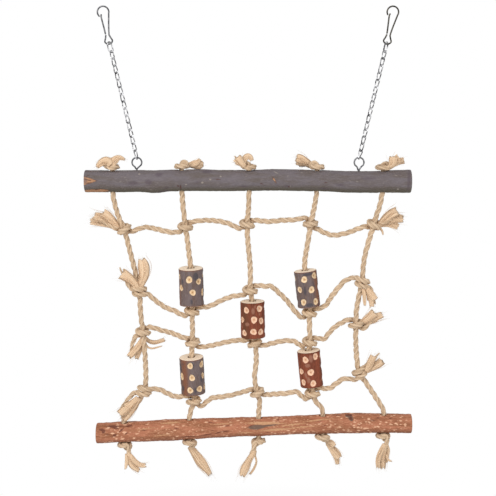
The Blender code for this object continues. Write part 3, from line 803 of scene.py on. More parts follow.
for column, x in enumerate(BOTTOM_HOLES):
    rope = ropes[f"upright_{column + 1}"][0]
    bend_at_bar(rope)
    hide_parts(f"upright_rope_{column + 1}", f"bottom_knot_{column + 1}")
for row in range(len(CROSS_ROPES)):
    rope = ropes[f"cross_{row + 1}"][0]
    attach(rope, "wall")
    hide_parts(f"cross_rope_{row + 1}")

# %% [markdown]
# ## Frayed ends
#
# Every rope end is left loose, and its strands open into flat locks of straight fibre, cut off
# blunt. A hair system would be the usual way, but hair is no mesh and is lost when the part is
# exported. A lock here is a thin closed body instead. It is drawn out of the rope along its own
# curve, ridged along its length and ragged at the cut, and fine fibres lie on it, a few of them
# straying.

# %% Locks of fibre
LOCK_STEP = 0.8
LOCK_SIDES = 22
LOCK_THICKNESS = (0.75, 0.5, 2.0)   # least, share of the width, most
LOCK_CUT = 0.55                     # share of the thickness left at the cut
LOCK_FULLNESS = 1.1
LOCK_RAGGED = 0.12
LOCK_RIDGES = (0.12, 1.5, 3)        # share of the width, limit, and how soon they start
LOCK_MIDDLE = 0.9                   # how far along the middle of the cut lies
LOCK_LAY = (0.07, 2.4, 2.0)         # tone along a lock, across it and through it
LOCK_SHIFT = 50                     # by chance up to this far along, so that no two look the same
LOCK_TINT = (0.45, 0.2, 0.06)       # at the root, more at the cut, and spread between strands
CUT_TINT = 0.3


def lock_frame(shape, depth, tip_depth):
    """A lock's line, half width, half thickness and two directions across it, from root to tip."""
    depths = np.linspace(depth, tip_depth, len(shape))
    line = smooth_route([(x, y, z, width) for (x, z, width), y in zip(shape, depths)], LOCK_STEP)
    centre, half = line[:, :3], line[:, 3:] * LOCK_FULLNESS
    ahead = unit(np.gradient(centre, axis=0))
    side = unit(np.cross(ahead, AWAY))
    least, share, most = LOCK_THICKNESS
    thick = np.minimum(np.clip(half * share, least, most), half)
    thick *= np.linspace(1, LOCK_CUT, len(line))[:, None]
    return np.hstack([centre, half, thick, side, np.cross(side, ahead)]), ahead[-1]


def on_lock(lock, tip, t, angle, swell):
    """Points t of the way along a lock and at an angle round it, swell times as far out."""
    t, angle, swell = np.broadcast_arrays(t, angle, swell)
    at = np.clip(t, 0, 1) * (len(lock) - 1)
    found = np.stack([np.interp(at, np.arange(len(lock)), values) for values in lock.T], axis=-1)
    past = np.maximum(t - 1, 0)[..., None] * LOCK_STEP * len(lock) * tip
    across = found[..., 5:8] * found[..., 3:4] * (swell * np.cos(angle))[..., None]
    through = found[..., 8:] * found[..., 4:5] * (swell * np.sin(angle))[..., None]
    return found[..., :3] + past + across + through


def lock_skin(random, lock, tip):
    """The closed body of a lock as points, faces, lay and tint."""
    angle = 2 * np.pi * np.arange(LOCK_SIDES) / LOCK_SIDES
    t = np.linspace(0, 1, len(lock))[:, None]
    ends = 1 - LOCK_RAGGED * random.random(LOCK_SIDES)
    share, limit, start = LOCK_RIDGES
    ridges = np.clip(random.standard_normal(LOCK_SIDES), -limit, limit)
    points = on_lock(lock, tip, t * ends, angle, 1 + share * ridges * np.minimum(start * t, 1))
    middle = on_lock(lock, tip, np.array([LOCK_MIDDLE]), 0.0, 0.0)
    faces = ring_faces(len(lock), LOCK_SIDES)[:-1]
    last = (len(lock) - 1) * LOCK_SIDES
    for side in range(LOCK_SIDES):
        faces.append((last + side, last + (side + 1) % LOCK_SIDES, len(lock) * LOCK_SIDES))
    along, across, through = LOCK_LAY
    width = lock[:, 3].max() * across
    places = (t * len(lock) * along + random.random() * LOCK_SHIFT, np.cos(angle) * width,
              np.sin(angle) * through)
    lay = np.stack(np.broadcast_arrays(*places), axis=2)
    root, more, uneven = LOCK_TINT
    tint = root + more * t + uneven * random.standard_normal(LOCK_SIDES)
    return (np.concatenate([points.reshape(-1, 3), middle]), faces,
            np.concatenate([lay.reshape(-1, 3), lay[-1, :1]]), np.append(tint.ravel(), CUT_TINT))


# %% Fibres on the locks
FIBRE_RADIUS = 0.09
FIBRE_POINTS = 8
FIBRES_PER_SQUARE = 1.1
FIBRES_LEAST = 6
FIBRE_START = (0.0, 0.3)    # share of the lock's length, from the least up to this much more
FIBRE_END = (0.9, 0.13)
FIBRE_SIZES = (0.7, 0.6)
FIBRE_WANDER = 0.35         # radians round the lock
FIBRE_OFF = 0.05            # how unevenly fibres lie on the skin
FIBRE_TINT = (0.55, 0.12)
STRAY_SHARE = 0.22
STRAY_PAST = 0.3            # strays reach past the cut by up to this share of the lock
STRAY_OUT = 0.8             # and stand off its skin
STRAY_THIN = 0.6


def lock_fibres(random, lock, tip):
    """Fine fibres along a lock, most of them on its skin, as points, faces, lay and tint."""
    count = round(FIBRES_PER_SQUARE * LOCK_STEP * lock[:, 3].sum()) + FIBRES_LEAST
    each = (count, 1)
    start = spread(random, *FIBRE_START, each)
    stray = random.random(each) < STRAY_SHARE
    end = spread(random, *FIBRE_END, each) + STRAY_PAST * stray * random.random(each) ** 2
    t = start + (end - start) * np.linspace(0, 1, FIBRE_POINTS)
    angle = 2 * np.pi * random.random(each) + FIBRE_WANDER * random.standard_normal(each) * t
    swell = 1 + FIBRE_OFF * random.standard_normal(each) + STRAY_OUT * stray * t ** 2
    lines = on_lock(lock, tip, t, angle, swell)
    radii = FIBRE_RADIUS * spread(random, *FIBRE_SIZES, each) * (1 - STRAY_THIN * stray * t)
    tone, uneven = FIBRE_TINT
    return fibre_mesh(lines, radii, tone + uneven * random.standard_normal(count))


# %% A tuft of locks
LOCK_LAYERS = 3
LOCK_LAYER = 0.7            # between one lock of a tuft and the next, front to back
LOCK_FAN = 2.2              # and as much more at their tips


def add_tuft(name, depth, locks, seed):
    """A frayed rope end of several locks, as one piece."""
    random = np.random.default_rng(SEED + seed)
    parts = []
    for number, shape in enumerate(locks):
        layer = number % LOCK_LAYERS - 1
        root = depth + LOCK_LAYER * layer
        lock, tip = lock_frame(shape, root, root + LOCK_FAN * layer)
        parts += [lock_skin(random, lock, tip), lock_fibres(random, lock, tip)]
    points, faces, lay, tint = joined(parts)
    return mesh_of(name, points, faces, sisal_fray_with_painted_light, lay=lay, tint=tint)


# %% [markdown]
# Each lock below is a few places along its middle, from the knot to the cut tip: millimetres across
# and up, and half its width there. The number before the locks of a tuft is how far behind the net
# it lies. The lowest tuft on the left touches the bottom bar; like the uprights, it only has its
# place baked into its mesh.

# %% Frayed ends of the cross ropes
CROSS_TUFTS = {
    "cross_1_left": (2.2, (
        ((-107.8, -181.5, 2.0), (-112.5, -175.8, 2.8), (-117, -170.8, 3.3), (-121.8, -167.3, 3.3)),
        ((-107.8, -182, 2.0), (-114, -176.8, 3.0), (-121, -172.8, 3.5), (-129.5, -171.2, 3.2)),
        ((-107.8, -182.3, 2.0), (-115, -178.4, 2.4), (-123, -176.2, 2.9), (-132.8, -175.6, 2.4)))),
    "cross_1_right": (2.2, (
        ((109.5, -178.2, 1.8), (114.5, -172.8, 2.8), (119.3, -168.6, 3.3), (125, -165.6, 3.2)),
        ((109.5, -178.4, 1.8), (116.5, -174.6, 2.8), (123.5, -172.8, 3.2), (130.6, -173.4, 2.8)),
        ((109.5, -178.8, 1.6), (116.5, -177.4, 2.3), (122, -178.2, 2.6), (126.6, -180.6, 2.2)),
        ((110.5, -181, 1.0), (112.3, -183.5, 0.8), (112.8, -186.5, 0.5)))),
    "cross_2_left": (-3.0, (
        ((-92.5, -231.5, 2.4), (-95.5, -226, 2.9), (-100, -221.6, 3.5), (-106.2, -217.6, 4.5)),
        ((-90.4, -230.5, 2.0), (-88.3, -224, 2.9), (-87, -218, 3.9), (-87.4, -211.5, 4.0),
         (-89.2, -205.4, 2.2)))),
    "cross_2_right": (-3.0, (
        ((99.5, -231, 1.5), (103.5, -236, 2.3), (107, -240.8, 2.3)),
        ((99.6, -231.5, 1.5), (103, -238.5, 2.2), (104.3, -247.8, 1.3)),
        ((99, -231.5, 1.2), (101.3, -237.5, 1.4), (101.6, -242.6, 1.1)),
        ((96.6, -231.5, 1.2), (97.4, -237.5, 1.4), (98, -245.8, 0.8)))),
    "cross_3_left": (2.5, (
        ((-89.2, -274.5, 1.5), (-92.5, -281, 2.2), (-97.5, -286.8, 2.3), (-101.8, -291.3, 2.0)),
        ((-89, -275, 1.4), (-91.5, -282, 2.2), (-93.5, -288.5, 1.8), (-95.2, -294, 1.4)),
        ((-87.6, -274.5, 1.3), (-85, -277.6, 1.4), (-80.5, -279.3, 1.5), (-75.5, -278.6, 1.3),
         (-70.5, -276.8, 1.2)),
        ((-87.5, -277, 0.7), (-85.7, -282, 0.7), (-81.8, -283.7, 0.6), (-77, -282.6, 0.5),
         (-72.5, -281.2, 0.3)))),
    "cross_3_right": (2.0, (
        ((95, -262.2, 1.8), (100.5, -258.2, 2.8), (107.3, -251.8, 3.4)),
        ((95, -262.5, 1.6), (103, -259.8, 2.7), (108.5, -257, 2.7), (114.8, -254.6, 2.2)),
        ((95, -263, 1.6), (102, -261.4, 2.0), (110, -258.8, 2.0)))),
    "cross_4_left": (-4.5, (
        ((-93.5, -325, 1.8), (-98.5, -330.5, 2.6), (-104, -335, 3.2), (-109.5, -339.5, 3.0)),
        ((-92.8, -325.5, 1.8), (-97.5, -332.5, 2.6), (-102.5, -339, 3.4), (-106.6, -345.5, 2.4)),
        ((-92, -326, 1.5), (-96, -333, 2.0), (-100, -338.5, 2.2), (-102.6, -343, 1.6)),
        ((-94, -324.8, 1.2), (-99.5, -329.2, 1.5), (-105.5, -332, 1.6)))),
    "cross_4_right": (-3.0, (
        ((100, -302.4, 1.6), (102.6, -297.5, 2.6), (104.2, -292.5, 2.7), (106.6, -288, 2.7)),
        ((100.3, -303, 1.6), (105.5, -299.6, 2.4), (110.5, -296.3, 3.0), (114.2, -293, 3.0)))),
}
tufts = {}
for index, (name, (depth, locks)) in enumerate(CROSS_TUFTS.items()):
    tufts[name] = add_tuft(f"frayed_{name}", depth, locks, index)
    if name == "cross_4_left":
        bend_at_bar(tufts[name])
    else:
        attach(tufts[name], "wall")
print(sum(len(tuft.data.polygons) for tuft in tufts.values()), "faces in the side tufts")

# %% Frayed ends of the uprights
TOP_TUFTS = (
    (-4.4, (
        ((-113, -127.5, 2.6), (-116, -124.6, 3.2), (-120, -125.6, 2.6), (-124.4, -130, 0.9)),
        ((-112.5, -127.5, 2.6), (-109.8, -124, 2.8), (-106, -121.8, 1.8), (-101, -123.6, 0.5)),
        ((-112.8, -128.5, 2.8), (-113.2, -125, 3.2), (-112.8, -121.6, 2.4)))),
    (4.4, (
        ((-49.5, -128.3, 1.8), (-45, -127.5, 2.4), (-41.5, -125.6, 1.8), (-40, -122.8, 0.9)),
        ((-49.5, -128.3, 1.8), (-44, -128, 3.0), (-40, -127.8, 3.4), (-36.8, -127.8, 1.4)),
        ((-49, -128.6, 1.5), (-44.5, -129.2, 1.8), (-40.5, -130.4, 1.4)))),
    (-4.4, (
        ((-3, -128.8, 1.8), (-5.8, -125.2, 2.6), (-9.2, -121.2, 3.4)),
        ((-3.5, -128.6, 1.5), (-6.8, -126.2, 2.0), (-10.6, -125, 1.8)),
        ((-3.5, -127.5, 1.5), (-2.6, -122.6, 2.2), (0.8, -121, 2.2), (3.8, -124.8, 1.2)))),
    (4.4, (
        ((52.5, -128.3, 1.9), (48, -125.4, 2.6), (44, -123.2, 3.2), (39.6, -121.8, 3.0)),
        ((52.5, -128.5, 1.7), (48, -126.4, 2.4), (43.4, -125.4, 3.0), (39.4, -125.2, 2.4)),
        ((52.5, -128.6, 1.6), (48.5, -127.2, 2.0), (45, -127.2, 2.2), (42, -128.2, 1.6)))),
    (-4.4, (
        ((117, -129.5, 1.9), (118.6, -126, 2.8), (119.5, -120.6, 3.2)),
        ((117.5, -129.2, 1.9), (120.5, -125, 2.8), (125, -121.6, 3.2)),
        ((117.8, -129.2, 1.8), (122.5, -125.6, 2.4), (129.2, -124.2, 2.4)))),
)
BOTTOM_TUFTS = (
    (-4.4, (
        ((-103, -374, 1.6), (-99.8, -377, 1.8), (-96.7, -380.8, 1.9), (-92.3, -384, 1.8),
         (-86.6, -384, 1.6)),
        ((-103.5, -374.5, 1.7), (-102, -380, 2.1), (-98.5, -385.8, 2.1), (-92.8, -390.3, 1.5)),
        ((-102.5, -375, 1.6), (-100, -381, 2.0), (-96.5, -386, 1.4)),
        ((-104, -375, 1.0), (-103.8, -382, 1.2), (-105, -388, 0.5)))),
    (4.4, (
        ((-49.8, -371, 2.2), (-44.3, -379.3, 3.2), (-39.6, -386, 3.5), (-35.2, -391.8, 2.3),
         (-32, -396.6, 1.5)),
        ((-50.5, -371.5, 1.8), (-46.5, -378, 2.2), (-42, -384.5, 2.4), (-37.5, -390, 1.6)))),
    (-4.4, (
        ((5.5, -372, 1.7), (3.3, -376, 2.0), (0, -381.5, 2.3), (-3, -388, 3.0),
         (-5.4, -394.6, 1.9)),
        ((6.5, -372, 1.0), (6, -376, 0.8), (7.2, -381.9, 0.7), (5, -388, 0.9),
         (1.2, -393.6, 0.8)))),
    (4.4, (
        ((68.5, -366.5, 1.6), (71.8, -367.6, 2.2), (74.6, -370.3, 1.6)),
        ((68.5, -368, 1.8), (73.2, -373.6, 2.6), (77, -378.6, 3.0), (79.8, -381.8, 1.8)),
        ((69.5, -369.5, 1.6), (73.5, -375.5, 2.0), (76.5, -381.5, 2.0), (77.8, -388.4, 1.5)))),
    (-4.4, (
        ((116.6, -366, 1.8), (113.8, -371.8, 2.0), (111.3, -379, 1.8), (111.2, -387.4, 1.2)),
        ((117.2, -366, 2.0), (115.8, -374, 2.6), (115.2, -381.5, 2.6), (115.8, -388.8, 1.8)),
        ((117.8, -366, 1.8), (119.2, -371.8, 2.0), (118.8, -378.5, 1.8), (118.8, -384, 1.2)),
        ((118.5, -375, 0.8), (120, -379.5, 0.8), (123.2, -380.6, 0.4)))),
)
for column in range(len(UPRIGHTS)):
    top = add_tuft(f"frayed_top_{column + 1}", *TOP_TUFTS[column], 20 + column)
    tufts[f"top_{column + 1}"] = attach(top, "wall")
    bottom = add_tuft(f"frayed_bottom_{column + 1}", *BOTTOM_TUFTS[column], 30 + column)
    tufts[f"bottom_{column + 1}"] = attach(bottom, "bottom_rail")
print(len(tufts), "frayed ends")

# %% [markdown]
# Each rope's route and length are looked up again below, with the place where an upright meets the
# top bar and where a cross rope makes its first hitch; nothing more is done with them.

for column, x in enumerate(TOP_HOLES):
    rope, route, length = ropes[f"upright_{column + 1}"]
    z, radius = bar_at(TOP_BAR, x)
for row in range(len(CROSS_ROPES)):
    rope, route, length = ropes[f"cross_{row + 1}"]
    x, z = KNOTS[row][0]

# %% [markdown]
# ## Bark and bare wood
#
# Bars and blocks are lengths of branch with the bark left on. Bark is streaked along the branch and
# mottled in small specks. Where it is cut, rubbed or drilled, pale wood with fine rings shows. Both
# looks are wanted on bars and on blocks, so each is a node group. They read the attribute grain, a
# place in millimetres measured along the branch first, so that the streaks always follow the wood.

# %% Bark, a node group
NOISE_ROUGHNESS = 0.62


def stretched_noise(tree, place, stretch, scale, detail):
    """Noise drawn out along the branch."""
    drawn = add_node(tree, "VectorMath", operation="MULTIPLY", Vector=place)
    drawn.inputs[1].default_value = (1 / stretch, 1, 1)
    return add_node(tree, "TexNoise", Scale=scale, Detail=detail, Roughness=NOISE_ROUGHNESS,
                    Vector=drawn.outputs[0]).outputs[0]


def ramp_node(tree, value, low, high, first=0.0, last=1.0):
    """A value taken from one range to another, smoothly and within its ends."""
    return add_node(tree, "MapRange", interpolation_type="SMOOTHSTEP", Value=value, From_Min=low,
                    From_Max=high, To_Min=first, To_Max=last).outputs[0]


bark_tone, given, result = new_group(
    "bark_tone",
    (("Grain", "Vector", None), ("Main", "Color", None), ("Streak", "Color", None),
     ("Speck", "Color", None), ("Underside", "Color", None), ("Low", "Float", 0.0)),
    (("Color", "Color"), ("Height", "Float"), ("Roughness", "Float")))
broad = stretched_noise(bark_tone, given["Grain"], 6.0, 0.22, 3.0)
fine = stretched_noise(bark_tone, given["Grain"], 5.0, 1.5, 4.0)
speck = stretched_noise(bark_tone, given["Grain"], 2.0, 2.2, 2.0)
share = ramp_node(bark_tone, broad, 0.35, 0.68)
tone = mix_colour(bark_tone, share, given["Main"], given["Streak"])
share = ramp_node(bark_tone, fine, 0.42, 0.72, 0.0, 0.55)
tone = mix_colour(bark_tone, share, tone, given["Speck"])
share = ramp_node(bark_tone, speck, 0.6, 0.75, 0.0, 0.5)
tone = mix_colour(bark_tone, share, tone, given["Main"])
# On the bars Low is their underside, and this mix paints shade into the bark there; on the blocks
# Low is a rust-brown streak and the rubbed ends.
tone = mix_colour(bark_tone, given["Low"], tone, given["Underside"])
feed(bark_tone, result, Color=tone, Height=math_node(bark_tone, "ADD", fine, speck),
     Roughness=ramp_node(bark_tone, fine, 0.3, 0.7, 0.62, 0.85))
print("group", bark_tone.name)

# %% Bare wood, a node group
bare_tone, given, result = new_group(
    "bare_tone",
    (("Grain", "Vector", None), ("Pale", "Color", None), ("Deep", "Color", None)),
    (("Color", "Color"), ("Height", "Float")))
rings = add_node(bare_tone, "TexWave", wave_type="RINGS", rings_direction="X", Scale=0.26,
                 Distortion=2.5, Detail=2.0, Vector=given["Grain"])
fibre = stretched_noise(bare_tone, given["Grain"], 4.0, 1.8, 3.0)
share = math_node(bare_tone, "MULTIPLY_ADD", rings.outputs["Fac"], 0.35,
                  ramp_node(bare_tone, fibre, 0.3, 0.75, 0.0, 0.65))
tone = mix_colour(bare_tone, share, given["Pale"], given["Deep"])
feed(bare_tone, result, Color=tone, Height=fibre)
print("group", bare_tone.name)

# %% [markdown]
# Bare wood, pale flecks, scars and cracks are laid over the bark. Where they lie comes from the
# mesh: an attribute for each kind says how far inside a mark a point is, in millimetres. A third
# group turns that into a mask whose edge is ragged with noise. Wider moves the edge out, and Soft
# is half its width. A material of bark lists its layers in order. The bars have flecks, bare places
# in their rims, scars and cracks.

# %% The edge of a mark, a node group
mark_edge, given, result = new_group(
    "mark_edge",
    (("Grain", "Vector", None), ("Inside", "Float", 0.0), ("Ragged", "Float", 0.5),
     ("Soft", "Float", 0.1), ("Wider", "Float", 0.0), ("Strength", "Float", 1.0)),
    (("Mask", "Float"),))
edge = stretched_noise(mark_edge, given["Grain"], 1.5, 1.1, 2.0)
edge = math_node(mark_edge, "SUBTRACT", edge, 0.5)
edge = math_node(mark_edge, "MULTIPLY", edge, given["Ragged"])
edge = math_node(mark_edge, "ADD", edge, given["Inside"])
edge = math_node(mark_edge, "ADD", edge, given["Wider"])
edge = ramp_node(mark_edge, math_node(mark_edge, "DIVIDE", edge, given["Soft"]), -1.0, 1.0)
feed(mark_edge, result, Mask=math_node(mark_edge, "MULTIPLY", edge, given["Strength"]))
print("group", mark_edge.name)

# %% Bark materials
BARK_BUMP = (0.35, 0.4 * MM)
WOOD_BUMP = (0.3, 0.3 * MM)
BARE = "bare wood"          # stands for the colour of bare wood in a list of layers


def mark_mask(tree, name, grain, ragged, soft=0.12, wider=0.0, strength=1.0):
    """The mask of one kind of mark in a material."""
    return add_group(tree, mark_edge, Ragged=ragged, Soft=soft, Wider=wider, Strength=strength,
                     Grain=grain, Inside=attribute(tree, name))["Mask"]


def bark_material(name, tones, wood, layers):
    """Bark under layers, each a mark, its colour and the settings of its mask."""
    material, tree, shader = new_material(name, Roughness=0.75, Specular_IOR_Level=0.3)
    grain = attribute(tree, "grain", "Vector")
    main, streak, speck, underside = tones
    bark = add_group(tree, bark_tone, Main=main, Streak=streak, Speck=speck, Underside=underside,
                     Grain=grain, Low=attribute(tree, "low"))
    bare = add_group(tree, bare_tone, Pale=wood[0], Deep=wood[1], Grain=grain)
    tone = bark["Color"]
    for mark, over, *edge in layers:
        over = bare["Color"] if over == BARE else over
        tone = mix_colour(tree, mark_mask(tree, mark, grain, *edge), tone, over)
    feed(tree, shader, Base_Color=tone, Roughness=bark["Roughness"])
    add_bump(tree, shader, bark["Height"], *BARK_BUMP)
    return material


def bare_material(name, pale, deep):
    """A sawn face."""
    material, tree, shader = new_material(name, Roughness=0.8, Specular_IOR_Level=0.3)
    grain = attribute(tree, "grain", "Vector")
    bare = add_group(tree, bare_tone, Pale=pale, Deep=deep, Grain=grain)
    feed(tree, shader, Base_Color=bare["Color"])
    add_bump(tree, shader, bare["Height"], *WOOD_BUMP)
    return material


def bar_layers(fleck, rim, crack, scar, scar_edge, scar_strength):
    """What lies on a bar's bark."""
    return (("fleck", fleck, 0.4, 0.2, 0.0, 0.8), ("bare", rim, 1.5, 0.3, 0.4, 0.8),
            ("bare", BARE, 1.5, 0.2), ("dark", scar, 0.9, scar_edge, 0.0, scar_strength),
            ("crack", crack, 0.6, 0.25, 0.0, 0.85))


# A bar's fourth bark colour is painted shade for its underside.
grey_bark = bark_material(
    "grey_bark_bar",
    (colour(106, 98, 102), colour(95, 85, 81), colour(130, 121, 122), colour(86, 80, 66)),
    (colour(196, 150, 112), colour(146, 104, 78)),
    bar_layers(colour(150, 140, 132), colour(92, 68, 58), colour(84, 56, 50), colour(84, 72, 80),
               1.1, 0.6))
red_bark = bark_material(
    "red_bark_bar",
    (colour(174, 110, 82), colour(138, 84, 54), colour(218, 160, 126), colour(134, 82, 58)),
    (colour(206, 160, 122), colour(184, 134, 98)),
    bar_layers(colour(236, 188, 154), colour(164, 106, 76), colour(104, 56, 42),
               colour(108, 88, 76), 0.35, 0.9))
sawn_end = bare_material("sawn_end", colour(222, 186, 142), colour(184, 140, 98))
print("bark:", grey_bark.name, red_bark.name)

# %% [markdown]
# ## The two bars
#
# A bar is a branch: nearly round, with swellings where twigs were. Displacing a cylinder with a
# texture would do, but then the marks could not follow the shape. Here the skin is a fine grid,
# ring by ring along the branch. Noise lifts it into bark, each mark raises or sinks it, and round
# each rope hole it dips inward.

# %% Marks on bark
OUTSIDE = -9.0              # millimetres, far from any mark
LENS_SIZES = (0.55, 1.1)
LENS_TILT = 9               # degrees
LENS_POWER = 1.4            # 2 would be an ellipse, 1 a rhomb


def mark_field(x, around, marks):
    """How far inside the nearest mark each point is. around is measured along the girth."""
    field = np.full(x.shape, OUTSIDE)
    for along, height, half_length, half_height, tilt, power in marks:
        angle = math.radians(tilt)
        u = (x - along) * math.cos(angle) + (around - height) * math.sin(angle)
        v = (around - height) * math.cos(angle) - (x - along) * math.sin(angle)
        size = (np.abs(u / half_length) ** power + np.abs(v / half_height) ** power) ** (1 / power)
        field = np.maximum(field, (1 - size) * min(half_length, half_height))
    return field


def scattered(random, count, start, end, girth, half_length, half_height):
    """Small lens-shaped marks strewn over a branch, lying along it."""
    least, more = LENS_SIZES
    marks = []
    for _ in range(count):
        size = least + more * random.random() ** 2
        marks.append((random.uniform(start, end), random.uniform(-girth / 2, girth / 2),
                      half_length * size, half_height * size, random.normal(0, LENS_TILT),
                      LENS_POWER))
    return marks


def inside(field, slope):
    """How deep in a mark, from nothing at its edge to one this far in."""
    return np.clip(field / slope, 0, 1)


# %% Skin of a branch
FRACTAL = (0.8, 2.1, 3)     # roughness, spacing and number of the octaves
CAP_RINGS = 7


def bark_noise(along, angle, bumps, grit, bump_shift, grit_shift):
    """Uneven bark. bumps and grit are a height, a scale along the branch and a scale round it."""
    skin = np.zeros((len(along), len(angle)))
    for i, j in np.ndindex(*skin.shape):
        places = []
        for (_, scale, girth), (shift, turn) in ((bumps, bump_shift), (grit, grit_shift)):
            places.append(Vector((along[i] * scale + shift, math.cos(angle[j]) * girth,
                                  math.sin(angle[j]) * girth + turn)))
        skin[i, j] = (bumps[0] * noise.noise(places[0])
                      + grit[0] * noise.fractal(places[1], *FRACTAL))
    return skin


def add_caps(points, faces, rings, sides):
    """Close both ends of a skin with rings that shrink to the middle."""
    caps = len(faces)
    for first, flip in ((0, True), ((rings - 1) * sides, False)):
        rim = points[first:first + sides]
        middle = rim.mean(axis=0)
        outer = list(range(first, first + sides))
        for ring in range(1, CAP_RINGS):
            share = 1 - ring / CAP_RINGS
            inner = list(range(len(points), len(points) + sides))
            points = np.concatenate([points, middle + (rim - middle) * share])
            for side in range(sides):
                turn = (side + 1) % sides
                face = (outer[side], outer[turn], inner[turn], inner[side])
                faces.append(face[::-1] if flip else face)
            outer = inner
        faces.append(tuple(outer[::-1] if flip else outer))
    return points, faces, caps


# %% A bar
BAR_STEP = 0.6
BAR_SIDES = 100
EDGE = ((0.0, 0.55), (0.1, 0.28), (0.35, 0.08), (0.8, 0.0))     # along the bar, off its radius
EDGE_ROOM = (1.2, 1.0)      # where the even rings start and end
EDGE_QUIET = 0.8            # bark fades out toward a trimmed edge
BUMP_SCALE = (0.035, 1.6)
GRIT_SCALE = (0.3, 5.5)
FLECK_RISE = (0.12, 0.3)    # height of a mark, and how far inside it that is reached
BARE_RISE = (-0.45, 0.6)
CRACK_RISE = (-0.3, 0.3)
SCAR_SLOPE = 0.6
HOLE_DIP = 3.4
HOLE_EDGE = (3.3, 0.9)      # reach of the dip, and the width of its slope
# Painted shade: a bar's bark is darkened toward its underside.
UNDERSIDE_SHADE = (0.35, 0.6)     # how far below the middle the underside's tone starts, and its range


def add_bar(name, stations, holes, material, relief, marks, body, seed):
    """A branch with its marks and rope holes. relief is of bumps, of grit and of scars."""
    bumps, grit, scars = relief
    start, end = stations[0][0], stations[-1][0]
    middle = np.arange(start + EDGE_ROOM[0], end - EDGE_ROOM[1], BAR_STEP)
    at, off = np.array(EDGE).T
    x = np.concatenate([start + at, middle, end - at[::-1]])
    trim = np.concatenate([off, np.zeros(len(middle)), off[::-1]])
    lift, radius = np.array([bar_at(stations, place) for place in x]).T
    angle = 2 * np.pi * np.arange(BAR_SIDES) / BAR_SIDES
    rise = (np.pi - angle + np.pi) % (2 * np.pi) - np.pi
    around = np.repeat(rise[None] * radius.mean(), len(x), 0)
    along = np.repeat(x[:, None], BAR_SIDES, 1)
    fields = {key: mark_field(along, around, marks[key]) for key in marks}
    skin = bark_noise(x, angle, (bumps, *BUMP_SCALE), (grit, *GRIT_SCALE), (seed, 0), (0, seed))
    for key, (height, slope) in (("fleck", FLECK_RISE), ("bare", BARE_RISE),
                                 ("dark", (-scars, SCAR_SLOPE)), ("crack", CRACK_RISE)):
        skin += height * inside(fields[key], slope)
    quiet = (1 - np.minimum(trim / EDGE_QUIET, 1))[:, None]
    reach = radius[:, None] - trim[:, None] + skin * quiet
    y = reach * np.cos(angle)
    z = lift[:, None] + reach * np.sin(angle)
    dip = np.zeros(along.shape)
    for hole in holes:
        dip = np.maximum(dip, inside(HOLE_EDGE[0] - np.hypot(along - hole, y), HOLE_EDGE[1]))
    z -= np.sign(np.sin(angle))[None] * HOLE_DIP * dip
    points = np.stack([along, y, z], axis=2).reshape(-1, 3)
    faces = ring_faces(len(x), BAR_SIDES)[:-2]
    points, faces, caps = add_caps(points, faces, len(x), BAR_SIDES)
    extra = len(points) - along.size
    kept = {key: np.append(field, np.full(extra, OUTSIDE)) for key, field in fields.items()}
    # Painted shade on the bar's underside, by how far each point faces down.
    low = np.tile(inside(-np.sin(angle) - UNDERSIDE_SHADE[0], UNDERSIDE_SHADE[1]), len(x))
    bar = mesh_of(name, points, faces, material, **kept,
                  grain=points - np.array((0, 0, lift.mean())), low=np.append(low, np.zeros(extra)))
    bar.data.materials.append(sawn_end)
    for face in range(caps, len(faces)):
        bar.data.polygons[face].material_index = 1
    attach(bar, body)
    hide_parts(name.replace("_branch", "_bar"))
    print(name, len(bar.data.polygons), "faces")


# %% [markdown]
# The top bar has smooth grey bark with two rubbed places at its left end and a few pale specks. The
# bottom bar's reddish bark is covered with pale lens-shaped pores, has a grey slit in its front and
# the scar of a twig on its right. Places are millimetres along the bar and degrees above its front
# line.

# %% Top bar
TOP_GIRTH = 2 * math.pi * 9.25
BAR_SEED = SEED + 70


def degrees_up(girth, rows):
    """Marks (along, up, half length, half height, tilt, power), up turned from degrees to girth."""
    return [(x, height * girth / 360, *rest) for x, height, *rest in rows]


